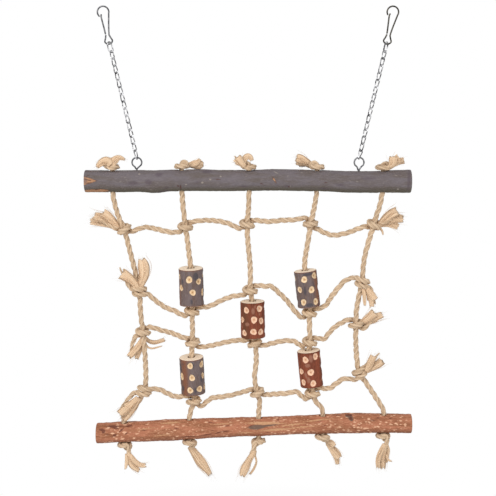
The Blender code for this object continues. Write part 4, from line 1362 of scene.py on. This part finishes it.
random = np.random.default_rng(BAR_SEED)
top_marks = {
    "bare": degrees_up(TOP_GIRTH, (
        (-135.6, 6, 11, 3.6, 0, 1.1), (-125.5, -58, 10, 2.6, 3, 2.4), (21.8, 2, 2.3, 0.5, -58, 1.5),
        (30, 150, 9, 1.6, 4, 1.6), (-92, 190, 5, 1.4, -6, 1.6),
    )),
    "fleck": degrees_up(TOP_GIRTH, (
        (-89.5, 42, 0.9, 0.7, 0, 2.0), (-51, -18, 0.8, 0.6, 0, 2.0), (-37.5, -8, 1.1, 0.8, 20, 2.0),
        (-31, 8, 0.9, 0.6, 0, 2.0), (-22.5, 26, 0.9, 0.7, 0, 2.0), (123.5, -38, 0.8, 0.8, 0, 2.0),
        (35, -30, 0.9, 0.5, 30, 2.0), (23, 46, 2.4, 0.5, -35, 1.6),
    )) + scattered(random, 130, -132, 132, TOP_GIRTH, 0.9, 0.25),
    "dark": degrees_up(TOP_GIRTH, (
        (-81.8, 0, 3.0, 2.2, 0, 2.0), (-73.3, 40, 3.2, 2.0, 0, 2.0), (-33.7, 56, 4.2, 2.2, 0, 2.0),
        (-70, -62, 6.5, 1.8, 4, 1.6), (99, 22, 6.0, 1.1, 2, 1.6), (76, -14, 2.8, 1.1, 0, 1.8),
        (60, 160, 6, 1.2, 5, 1.4), (-20, 200, 7, 1.2, -4, 1.4), (-134.2, 8, 1.8, 2.8, 0, 2.0),
        (132.4, 14, 1.3, 9.0, -4, 2.0),
    )) + scattered(random, 22, -132, 132, TOP_GIRTH, 3.6, 1.2),
    "crack": degrees_up(TOP_GIRTH, (
        (-131, 62, 5.5, 0.45, -3, 1.3), (-131.5, 34, 3.2, 0.4, 28, 1.3),
        (-55.6, -36, 0.7, 2.6, 0, 2.0), (-57.6, -27, 0.7, 1.0, 10, 1.6),
        (33.7, -35, 0.8, 0.9, 30, 1.4), (64, -4, 1.7, 0.5, 12, 1.4),
        (11, -14, 1.6, 0.5, -24, 1.4), (40, 170, 6, 0.45, 4, 1.3), (-131.5, 10, 4.2, 0.5, -14, 1.3),
        (-131, -6, 3.6, 0.45, 10, 1.3), (-126, -50, 5.0, 0.4, 3, 1.3),
    )) + scattered(random, 14, -130, 132, TOP_GIRTH, 1.8, 0.3),
}
add_bar("top_branch", TOP_BAR, TOP_HOLES, grey_bark, (0.3, 0.16, 0.1), top_marks, "wall",
        1)

# %% Bottom bar
BOTTOM_GIRTH = 2 * math.pi * 7.8
random = np.random.default_rng(BAR_SEED + 1)
bottom_marks = {
    "bare": degrees_up(BOTTOM_GIRTH, (
        (14, 37, 17, 1.4, -2, 1.3), (24, -8, 16, 1.2, 3, 1.3), (60, 46, 14, 0.7, 4, 1.3),
        (-66, 62, 9, 1.0, 3, 1.4), (-30, 170, 14, 1.3, 3, 1.4), (60, 200, 10, 1.2, -5, 1.4),
        (38, 22, 11, 0.7, 4, 1.3), (47, 4, 12, 0.6, 3, 1.3), (-22, 44, 10, 0.5, 3, 1.3),
        (-2, -24, 9, 0.6, 2, 1.3), (-88, 30, 9, 0.5, 4, 1.3), (-72, -12, 8, 0.5, 2, 1.3),
    )),
    "fleck": scattered(random, 480, -127, 137, BOTTOM_GIRTH, 0.95, 0.42)
             + scattered(random, 380, 20, 137, BOTTOM_GIRTH, 1.0, 0.45)
             + scattered(random, 260, -122, 10, BOTTOM_GIRTH, 1.2, 0.5),
    "dark": degrees_up(BOTTOM_GIRTH, (
        (7.2, 13, 7.4, 2.1, 2, 1.8), (16, 20, 11, 0.9, 5, 1.4), (87.6, 46, 2.0, 2.4, 20, 1.6),
        (85.8, 70, 3.0, 2.6, 0, 1.8), (45, 190, 9, 1.2, -3, 1.5), (-80, 165, 5, 1.0, 8, 1.5),
    )),
    "crack": degrees_up(BOTTOM_GIRTH, (
        (-50.9, -34, 9.4, 0.6, 1.7, 1.3), (-35.2, -26, 8.0, 0.7, 6.2, 1.3),
        (-25.4, -13, 3.8, 0.7, 21, 1.3), (-18.9, -5, 4.6, 0.6, 0, 1.3),
        (-124.0, 37, 3.2, 1.3, -12, 1.1), (-122.9, 27, 1.6, 2.0, -25, 1.1),
        (-107.8, 28, 3.4, 0.8, 40, 1.2), (-113.4, 0, 2.4, 1.1, 24, 1.1),
        (-115, 58, 6.0, 1.3, -6, 1.3), (-112.4, 44, 3.0, 0.9, -10, 1.2),
        (-103.6, 6, 2.0, 0.6, 30, 1.2),
        (-101.5, 54, 3.4, 1.2, 10, 1.3), (25.7, 62, 0.6, 1.7, 0, 1.6), (2, 22, 3.0, 0.5, 14, 1.3),
        (86.2, 80, 3.2, 1.6, 0, 1.8), (110.5, 54, 2.4, 0.6, 4, 1.4), (121, 50, 1.6, 0.5, 0, 1.4),
        (87.4, 52, 1.1, 1.5, 10, 1.6),
        (-60, 175, 9, 0.5, 5, 1.3), (95, 210, 7, 0.5, -6, 1.3),
    )) + scattered(random, 110, -127, 137, BOTTOM_GIRTH, 2.0, 0.32),
}
add_bar("bottom_branch", BOTTOM_BAR, BOTTOM_HOLES, red_bark, (0.35, 0.26, 0.6), bottom_marks,
        "bottom_rail", 2)

# %% [markdown]
# ## The blocks
#
# Five short lengths of branch are threaded on the uprights. Each has pale round spots, where a
# drill has just gone through the bark, in rings about it. The spots could be painted on. Sinking
# them into the mesh makes them catch the light, so a block is again a fine grid: outward over its
# lower face, up its side, inward over its upper face and down its bore. Points within a spot sink
# by the drill's depth.

# %% Block materials
def block_layers(scar, deep, centre):
    """What lies on a block's bark. In a drilled spot a ring and the drill's point show."""
    return (("dark", scar, 0.9, 0.5, 0.0, 0.8), ("spot", BARE, 0.5),
            ("dot", centre, 0.4, 0.2, 0.95, 0.5), ("dot", deep, 0.4, 0.2, 0.6, 0.7),
            ("dot", centre, 0.2))


dark_wood = (colour(247, 222, 186), colour(222, 184, 138))
dark_block = bark_material(
    "dark_block",
    (colour(111, 97, 97), colour(98, 78, 70), colour(132, 117, 113), colour(130, 82, 58)),
    dark_wood, block_layers(colour(70, 66, 72), dark_wood[1], colour(168, 122, 80)))
red_wood = (colour(250, 216, 188), colour(232, 184, 150))
red_block = bark_material(
    "red_block",
    (colour(130, 64, 42), colour(94, 44, 26), colour(158, 92, 66), colour(98, 60, 38)),
    red_wood, block_layers(colour(154, 106, 86), red_wood[1], colour(180, 122, 86)))
sawn_face = bare_material("sawn_face", colour(254, 238, 217), colour(242, 216, 186))
# Painted shade: the wood down the bore gets darker colours than the sawn faces, for the shade
# inside the hole.
bore_painted_shade = bare_material("bore_painted_shade", colour(120, 84, 56), colour(74, 50, 34))
print("blocks:", dark_block.name, red_block.name)

# %% Places and spots of the blocks
# Node, upper end, lower end, radius, material, slot, rise of the upper face at the back, a
# rust-brown streak as (degrees round from the front, width, strength), the spots as (degrees,
# height), and scars as (degrees, height, half their width, half their height)
BLOCKS = (
    ("block_upper_left", (-48.0, -215.0), (-47.3, -246.0), 10.2, dark_block, "grey_bark", 1.3,
     (-72, 12, 0.6),
     ((-7, 7.6), (43, 5.6), (9, -3.2), (-58, 0.2), (72, -4.0)),
     ((25, 10.0, 2.4, 3.4), (2, -11.0, 1.0, 2.2))),
    ("block_upper_right", (47.9, -216.4), (51.5, -247.2), 9.5, dark_block, "grey_bark", 0.0,
     (58, 18, 0.8),
     ((-12, 9.2), (50, 11.2), (22, -0.1), (-46, 0.7), (-30, -10.0), (40, -10.6)),
     ((10, 13.4, 4.2, 1.4), (-14, -0.6, 1.2, 3.6), (2, -12.6, 3.0, 1.6))),
    ("block_centre", (3.7, -242.6), (4.4, -273.6), 10.2, red_block, "red_bark", 0.0,
     (-40, 20, 0.8),
     ((-33, 9.2), (37, 10.3), (6, 1.2), (46, -0.3), (2, -9.0), (42, -9.6), (-64, 0.5),
      (-50, -10.4)),
     ((2, 8.6, 1.4, 2.6), (-28, -2.6, 2.0, 1.6))),
    ("block_lower_left", (-48.1, -291.6), (-46.6, -322.6), 10.2, dark_block, "grey_bark", 1.6,
     (-36, 20, 0.9),
     ((-5, 10.7), (62, 10.4), (1, 0.4), (68, 0.6), (-60, 0.9), (-12, -10.4), (38, -9.9)),
     ((-66, 8.0, 1.6, 3.6), (14, -10.6, 1.0, 2.8), (-50, -9.0, 1.4, 2.4))),
    ("block_lower_right", (51.3, -285.1), (54.5, -316.0), 9.7, red_block, "red_bark", 0.3,
     (72, 16, 0.5),
     ((-23, 9.5), (34, 11.4), (-1, -1.5), (6, -11.2), (-50, -10.3), (-60, -1.0)),
     ((6, 10.4, 1.7, 3.2), (-14, 4.6, 2.2, 1.6), (-16, -8.0, 1.6, 2.6))),
)
SPOT_ROWS = (10.2, 0.2, -10.0)
SPOT_SPACING = 6.8
SPOT_WANDER = 0.6
BACK_START = (75, 20)       # degrees from the front, and by chance as much more
BACK_END = 285
BACK_STEP = (42, 16)


def all_spots(random, front, outer):
    """The spots seen from the front, and three rings of the same kind round the back."""
    spots = list(front)
    for height in SPOT_ROWS:
        angle = spread(random, *BACK_START, None)
        while angle < BACK_END:
            spot = (angle, height + random.normal(0, SPOT_WANDER))
            turns = [abs((angle - other + 180) % 360 - 180) for other, _ in spots]
            gaps = [math.hypot(math.radians(turn) * outer, spot[1] - rise)
                    for turn, (_, rise) in zip(turns, spots)]
            if min(gaps) > SPOT_SPACING:
                spots.append(spot)
            angle += spread(random, *BACK_STEP, None)
    return spots


# %% Shape of a block
BLOCK_BORE = 3.2
BLOCK_CHAMFER = 0.7
CHAMFER_BULGE = 0.3         # share of the chamfer, cut off at its middle
BLOCK_SIDES = 180
BLOCK_ROWS = 88
FACE_RINGS = 8
BORE_RINGS = 6
SIDE_RINGS = slice(FACE_RINGS + 1, FACE_RINGS + 1 + BLOCK_ROWS)


def block_profile(half, outer):
    """Radius and height of a block's rings: lower face, side, upper face and bore."""
    rim = outer - BLOCK_CHAMFER
    soft = CHAMFER_BULGE * BLOCK_CHAMFER
    side = np.linspace(BLOCK_CHAMFER - half, half - BLOCK_CHAMFER, BLOCK_ROWS)
    bore = np.linspace(half, -half, BORE_RINGS + 2)[1:-1]
    rings = [(radius, -half) for radius in np.linspace(BLOCK_BORE, rim, FACE_RINGS)]
    rings += [(outer - soft, soft - half), *((outer, height) for height in side)]
    rings += [(outer - soft, half - soft)]
    rings += [(radius, half) for radius in np.linspace(rim, BLOCK_BORE, FACE_RINGS)]
    rings += [(BLOCK_BORE, height) for height in bore]
    return np.array(rings).T


def turn_from(angle, degrees):
    """Angles round a block, measured from a line this many degrees round from its front."""
    return (angle - math.radians(270 + degrees) + np.pi) % (2 * np.pi) - np.pi


# %% Drilled spots
SPOT_RADIUS = 2.85
SPOT_SIZES = (0.9, 1.03)
SPOT_ROUND = (0.06, 0.05)   # how far a spot is from round, in two and in three lobes
SPOT_DEPTH = 0.9
SPOT_EDGE = 0.2
POINT_RADIUS = 0.5          # the hole that the drill's point leaves in the middle
POINT_DEPTH = 0.5
POINT_EDGE = 0.1
RING_DEPTH = 0.2
RING_OUT = 0.8              # from the rim of the point's hole to the ring
RING_WIDTH = 0.25
SCAR_RISE = (0.15, 0.8)


def drilled(random, spots, angle, height, outer):
    """How far inside a spot, and inside the hole in its middle, each point of the side is."""
    spot = np.full((len(height), len(angle)), OUTSIDE)
    dot = spot.copy()
    for degrees, rise in spots:
        across = turn_from(angle, degrees) * outer
        up = height[:, None] - rise
        off = np.hypot(across, up)
        bearing = np.arctan2(up, across)
        first, second = random.uniform(0, 2 * np.pi, 2)
        edge = (1 + SPOT_ROUND[0] * np.cos(2 * bearing + first)
                + SPOT_ROUND[1] * np.cos(3 * bearing + second))
        spot = np.maximum(spot, SPOT_RADIUS * random.uniform(*SPOT_SIZES) * edge - off)
        dot = np.maximum(dot, POINT_RADIUS - off)
    return spot, dot


def side_relief(spot, dot, dark):
    """Spots sunk into the side, each with a ring and the point's hole, and scars between them."""
    sunk = inside(spot + SPOT_EDGE, 2 * SPOT_EDGE)
    ring = RING_DEPTH * np.exp(-((dot + RING_OUT) / RING_WIDTH) ** 2)
    point = POINT_DEPTH * inside(dot + POINT_EDGE, POINT_RADIUS)
    height, slope = SCAR_RISE
    return (height * inside(dark, slope) * (1 - sunk)
            - SPOT_DEPTH * sunk * sunk * (3 - 2 * sunk) - point - ring)


# %% Blocks
BLOCK_SEED = SEED + 80
BLOCK_BUMPS = (0.16, 0.08, 2.4)
BLOCK_GRIT = (0.12, 0.35, 7)
BLOCK_SHIFT = 4             # from one block's bumps to the next
GRAIN_SHIFT = 40            # and from its grain
BLOCK_SCARS = (12, 1.9, 0.8)        # number, half their length, half their width
SCAR_MARGIN = 2
SCAR_GIRTH = 5.6            # radii, nearly all the way round
WORN_EDGE = 1.1             # bark is rubbed to brown this far from both ends
WORN_SLOPE = 0.5
WORN_SHARE = 0.7


def block_scars(random, scars, half, outer):
    """A block's own scars and a few more, as marks."""
    marks = [(rise, math.radians(degrees) * outer, tall, wide, 0, 2.0)
             for degrees, rise, wide, tall in scars]
    count, half_length, half_width = BLOCK_SCARS
    return marks + scattered(random, count, SCAR_MARGIN - half, half - SCAR_MARGIN,
                             SCAR_GIRTH * outer, half_length, half_width)


def add_block(name, top, bottom, outer, material, slot, slant, rust, front, scars, seed):
    """A drilled length of branch, bored along its axis for the rope."""
    random = np.random.default_rng(BLOCK_SEED + seed)
    upper, lower = flat(top), flat(bottom)
    half = np.linalg.norm(upper - lower) / 2
    radius, height = block_profile(half, outer)
    angle = 2 * np.pi * np.arange(BLOCK_SIDES) / BLOCK_SIDES
    side = height[SIDE_RINGS]
    radius = np.repeat(radius[:, None], BLOCK_SIDES, 1)
    height = np.repeat(height[:, None], BLOCK_SIDES, 1)
    spot = np.full(radius.shape, OUTSIDE)
    dot = spot.copy()
    spots = all_spots(random, front, outer)
    spot[SIDE_RINGS], dot[SIDE_RINGS] = drilled(random, spots, angle, side, outer)
    from_front = (angle - 0.5 * np.pi) % (2 * np.pi) - np.pi
    around = np.broadcast_to(from_front * outer, height.shape)
    dark = mark_field(height, around, block_scars(random, scars, half, outer))
    radius[SIDE_RINGS] += side_relief(spot[SIDE_RINGS], dot[SIDE_RINGS], dark[SIDE_RINGS])
    shift = (seed * BLOCK_SHIFT, 0)
    radius[SIDE_RINGS] += bark_noise(side, angle, BLOCK_BUMPS, BLOCK_GRIT, shift, shift)
    across = radius * np.cos(angle)
    depth = radius * np.sin(angle)
    degrees, width, strength = rust
    streak = strength * np.exp(-(turn_from(angle, degrees) / math.radians(width)) ** 2)
    worn = WORN_SHARE * inside(np.abs(height) - half + WORN_EDGE, WORN_SLOPE)
    low = np.maximum(streak, worn)
    height = height + slant * (depth / outer + 1) / 2 * np.clip(height / half, 0, 1)
    axis = unit(upper - lower)
    points = ((upper + lower) / 2 + axis * height[..., None]
              + np.cross(AWAY, axis) * across[..., None] + AWAY * depth[..., None])
    faces = ring_faces(len(height), BLOCK_SIDES, closed=True)
    grain = np.stack([height + seed * GRAIN_SHIFT, across, depth], axis=2).reshape(-1, 3)
    block = mesh_of(name + "_branch", points.reshape(-1, 3), faces, material, grain=grain,
                    spot=spot.ravel(), dot=dot.ravel(), dark=dark.ravel(), low=low.ravel())
    block.data.materials.append(sawn_face)
    block.data.materials.append(bore_painted_shade)
    kinds = np.zeros(len(height), np.int32)
    kinds[:FACE_RINGS] = 1
    kinds[SIDE_RINGS.stop:] = 1
    kinds[SIDE_RINGS.stop + FACE_RINGS:] = 2
    block.data.polygons.foreach_set("material_index", np.repeat(kinds, BLOCK_SIDES))
    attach(block, name)
    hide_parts(name)
    print(block.name, len(block.data.polygons), "faces")


for seed, block in enumerate(BLOCKS):
    add_block(*block, seed)

# %% [markdown]
# ## Hooks, chains and screw eyes
#
# The metal is thin nickel-plated wire. A snap hook is one bent wire, and its gate is the wire's own
# springy end. The chain's links are ovals twisted by a quarter turn, so that every link lies square
# to the next. Round wire swept along the same routes as the solids' gives true reflections all
# round it. Wire this thin glints in broken spots, and one node group paints these glints: it clouds
# the plate between a deep and a pale grey, far apart on the chain. The right hook's plate is duller
# than the left one's.

# %% Nickel
GLINT_CLOUD_SCALE = 420.0

plating_and_glints, given, result = new_group(
    "plating_and_glints", (("Place", "Vector", None), ("Deep", "Color", None), ("Pale", "Color", None)),
    (("Color", "Color"), ("Roughness", "Float")))
# Painted glints: noise clouds the plate in broken spots; the chain's two greys lie far apart and
# stand for glints, the hooks' lie close together.
cloud = add_node(plating_and_glints, "TexNoise", Scale=GLINT_CLOUD_SCALE, Detail=2.0,
                 Vector=given["Place"]).outputs[0]
share = ramp_node(plating_and_glints, cloud, 0.38, 0.62)
feed(plating_and_glints, result, Color=mix_colour(plating_and_glints, share, given["Deep"], given["Pale"]),
     Roughness=ramp_node(plating_and_glints, cloud, 0.3, 0.7, 0.2, 0.42))


def nickel_material(name, deep, pale):
    """Nickel plate clouded between a deep and a pale grey, as painted glints where they lie far
    apart.
    """
    material, tree, shader = new_material(name, Roughness=0.3, Metallic=1.0)
    plate = add_group(tree, plating_and_glints, Deep=deep, Pale=pale,
                      Place=add_node(tree, "TexCoord").outputs["Object"])
    feed(tree, shader, Base_Color=plate["Color"], Roughness=plate["Roughness"])
    return material


hook_nickel = nickel_material("hook_nickel", colour(78, 79, 82), colour(122, 122, 124))
dull_nickel = nickel_material("dull_nickel", colour(54, 52, 48), colour(84, 81, 73))
# Painted glints: the chain's deep and pale greys stand for dark and bright reflections in the wire.
chain_nickel_painted_glints = nickel_material("chain_nickel_painted_glints", colour(62, 62, 65), colour(214, 214, 216))
print("nickel:", hook_nickel.name, dull_nickel.name, chain_nickel_painted_glints.name)

# %% Wire sweeps
WIRE_SIDES = 14
WIRE_DOME = np.array((0.98, 0.8, 0.45, 0.0))    # rings of a rounded end, from its tip, in radii


def untwisted(ahead, side, other):
    """The frames of a closed loop, turned bit by bit so that the last one meets the first."""
    slip = math.atan2(np.dot(np.cross(side[-1], side[0]), ahead[0]), np.dot(side[-1], side[0]))
    turn = np.linspace(0, slip, len(side))[:, None]
    return (side * np.cos(turn) + other * np.sin(turn), other * np.cos(turn) - side * np.sin(turn))


def rounded(route, ahead, radius):
    """A route and the wire's radius along it, with a dome at both ends."""
    dome = WIRE_DOME[:, None] * radius
    bulge = np.sqrt(1 - WIRE_DOME ** 2) * radius
    route = np.concatenate([route[0] - ahead[0] * dome, route[1:-1],
                            route[-1] + ahead[-1] * dome[::-1]])
    girth = np.full(len(route) - 2 * len(dome), radius)
    return route, np.concatenate([bulge, girth, bulge[::-1]])


def add_wire(name, route, radius, body, nodes, plate, closed=False):
    """Round wire along a route, with rounded ends where it isn't a closed loop."""
    ahead, side, other = carried_frames(route, closed)
    girth = np.full(len(route), radius)
    if closed:
        side, other = untwisted(ahead, side, other)
    else:
        route, girth = rounded(route, ahead, radius)
        more = len(WIRE_DOME) - 1
        side, other = (np.pad(way, ((more, more), (0, 0)), mode="edge") for way in (side, other))
    angle = 2 * np.pi * np.arange(WIRE_SIDES) / WIRE_SIDES
    points = tube_points(route, side, other, girth[:, None], angle)
    wire = mesh_of(name, points.reshape(-1, 3), ring_faces(len(route), WIRE_SIDES, closed), plate)
    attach(wire, body)
    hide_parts(*nodes)


# %% Snap hooks
HOOK_PLACE = 118.4
HOOK_LEAN = math.radians(10)
HOOK_WIRE = 0.65
BOW_RADIUS = 4.65
BOW_CENTRE = -4.0
BOW_ANGLES = range(215, -30, -24)
HOOK_SHANK = ((1.35, -22.3), (2.2, -25.2), (3.1, -27.7), (1.7, -29.5), (0, -30.0), (-1.7, -29.5),
              (-3.1, -27.7), (-2.2, -25.2), (-1.45, -22.7))
GATE = ((-1.5, -21.2), (-1.6, -18.4), (-2.0, -12.5), (-2.3, -7.6), (-2.0, -5.9))
SIDES = ((-1, "left"), (1, "right"))
HOOK_STEP = 0.5
HOOK_PLATES = {"left": hook_nickel, "right": dull_nickel}


def hook_place(side, point):
    """A point of a hook's own plane, placed in the wall's frame."""
    x, z = point
    turn = HOOK_LEAN * side
    return flat((side * HOOK_PLACE + x * math.cos(turn) + z * math.sin(turn),
                 z * math.cos(turn) - x * math.sin(turn)))


for side, word in SIDES:
    bow = []
    for degrees in BOW_ANGLES:
        angle = math.radians(degrees)
        bow.append((BOW_RADIUS * math.cos(angle), BOW_CENTRE + BOW_RADIUS * math.sin(angle)))
    route = smooth_route([hook_place(side, point) for point in (*bow, *HOOK_SHANK)], HOOK_STEP)
    add_wire(f"hook_wire_{word}", route, HOOK_WIRE, "hooks", [f"hook_{word}"], HOOK_PLATES[word])
    route = smooth_route([hook_place(side, point) for point in GATE], HOOK_STEP)
    add_wire(f"gate_wire_{word}", route, HOOK_WIRE, f"gate_{word}", [f"hook_gate_{word}"],
             HOOK_PLATES[word])

# %% Rings and chain links
CHAIN_TOP = np.array((113.2, 0, -28.6))
CHAIN_END = np.array((92.0, 0, -122.0))
LINKS = 15
LINK_WIRE = 0.45
LINK_HALF_WIDTH = 1.75
LINK_OVERLAP = 0.6
LAST_OVERLAP = 1.4
LINK_TWIST = math.radians(45)
LAST_TWIST = math.radians(-70)
RING_WIRE = 0.6
RING_HALF_WIDTH = 2.9
RING_OVERLAP = 0.78
RING_FOOT = 0.9
RING_REACH = 6.85
RING_TURN = math.radians(-60)
BOW_STEPS = 6
LOOP_STEP = 0.35


def oval_loop(top, down, across, length, half_width, turns):
    """A closed oval wire. turns are the angles of its upper and lower bow."""
    points = []
    for bow, turn in enumerate(turns):
        flat_way = across * math.cos(turn) + AWAY * math.sin(turn)
        centre = top + down * (half_width + bow * (length - 2 * half_width))
        for step in range(BOW_STEPS + 1):
            angle = math.pi * step / BOW_STEPS + bow * math.pi
            points.append(centre + flat_way * half_width * math.cos(angle)
                          - down * half_width * math.sin(angle))
    return smooth_route(points, LOOP_STEP, closed=True)


pitch = (np.linalg.norm(CHAIN_END - CHAIN_TOP) - RING_REACH) / LINKS
for side, word in SIDES:
    mirror = np.array((side, 1, 1))
    top = CHAIN_TOP * mirror
    down = unit(CHAIN_END * mirror - top)
    across = np.cross(AWAY, down)
    length = RING_REACH + RING_OVERLAP + RING_FOOT
    route = oval_loop(top - down * RING_OVERLAP, down, across, length, RING_HALF_WIDTH,
                      (RING_TURN, RING_TURN))
    add_wire(f"ring_wire_{word}", route, RING_WIRE, "rings", [f"ring_{word}"], chain_nickel_painted_glints, True)
    for link in range(1, LINKS + 1):
        foot, twist = (LAST_OVERLAP, LAST_TWIST) if link == LINKS else (LINK_OVERLAP, -LINK_TWIST)
        start = top + down * (RING_REACH + pitch * (link - 1) - LINK_OVERLAP)
        route = oval_loop(start, down, across, pitch + LINK_OVERLAP + foot, LINK_HALF_WIDTH,
                          (LINK_TWIST, twist))
        add_wire(f"link_wire_{word}_{link:02d}", route, LINK_WIRE, f"links_{link:02d}",
                 [f"link_{word}_{link:02d}"], chain_nickel_painted_glints, True)
print(2 * LINKS, "links,", round(pitch, 2), "mm apart")

# %% Screw eyes
EYE_OVERLAP = 0.1
EYE_WIRE = 0.65
EYE_RADIUS = 4.0
EYE_STEPS = 14
EYE_STEP = 0.4
EYE_START = -62
EYE_SWEEP = 305
SHANK_LENGTH = 12
SHANK_PROUD = 0.6
EYE_CLOSE = 0.75           # the wire's end lies against its own shank
EYE_REACH = 1.0
for side, word in SIDES:
    centre = flat((side * CHAIN_END[0], CHAIN_END[2] + EYE_OVERLAP - EYE_RADIUS))
    z, radius = bar_at(TOP_BAR, centre[0])
    foot = z + radius
    route = [flat((centre[0], height)) for height in (foot - SHANK_LENGTH, foot - SHANK_LENGTH / 2,
                                                      foot + SHANK_PROUD)]
    for step in range(EYE_STEPS):
        angle = math.radians(EYE_START + EYE_SWEEP * step / (EYE_STEPS - 1))
        route.append(centre + (ACROSS * math.cos(angle) + UP * math.sin(angle)) * EYE_RADIUS)
    route.append(flat((centre[0] - EYE_CLOSE, foot + EYE_REACH)))
    add_wire(f"eye_wire_{word}", smooth_route(route, EYE_STEP), EYE_WIRE, "wall",
             [f"screw_eye_{word}"], hook_nickel)

# %% [markdown]
# ## Size and finish
#
# The dressed model's size is printed beside the imported one's. The dressed model has
# to stay within the imported one's size.

# %% Finish
visual_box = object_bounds()
for word, box in (("cad", cad_box), ("visual", visual_box)):
    print(word, [[round(value / MM, 1) for value in corner] for corner in box])
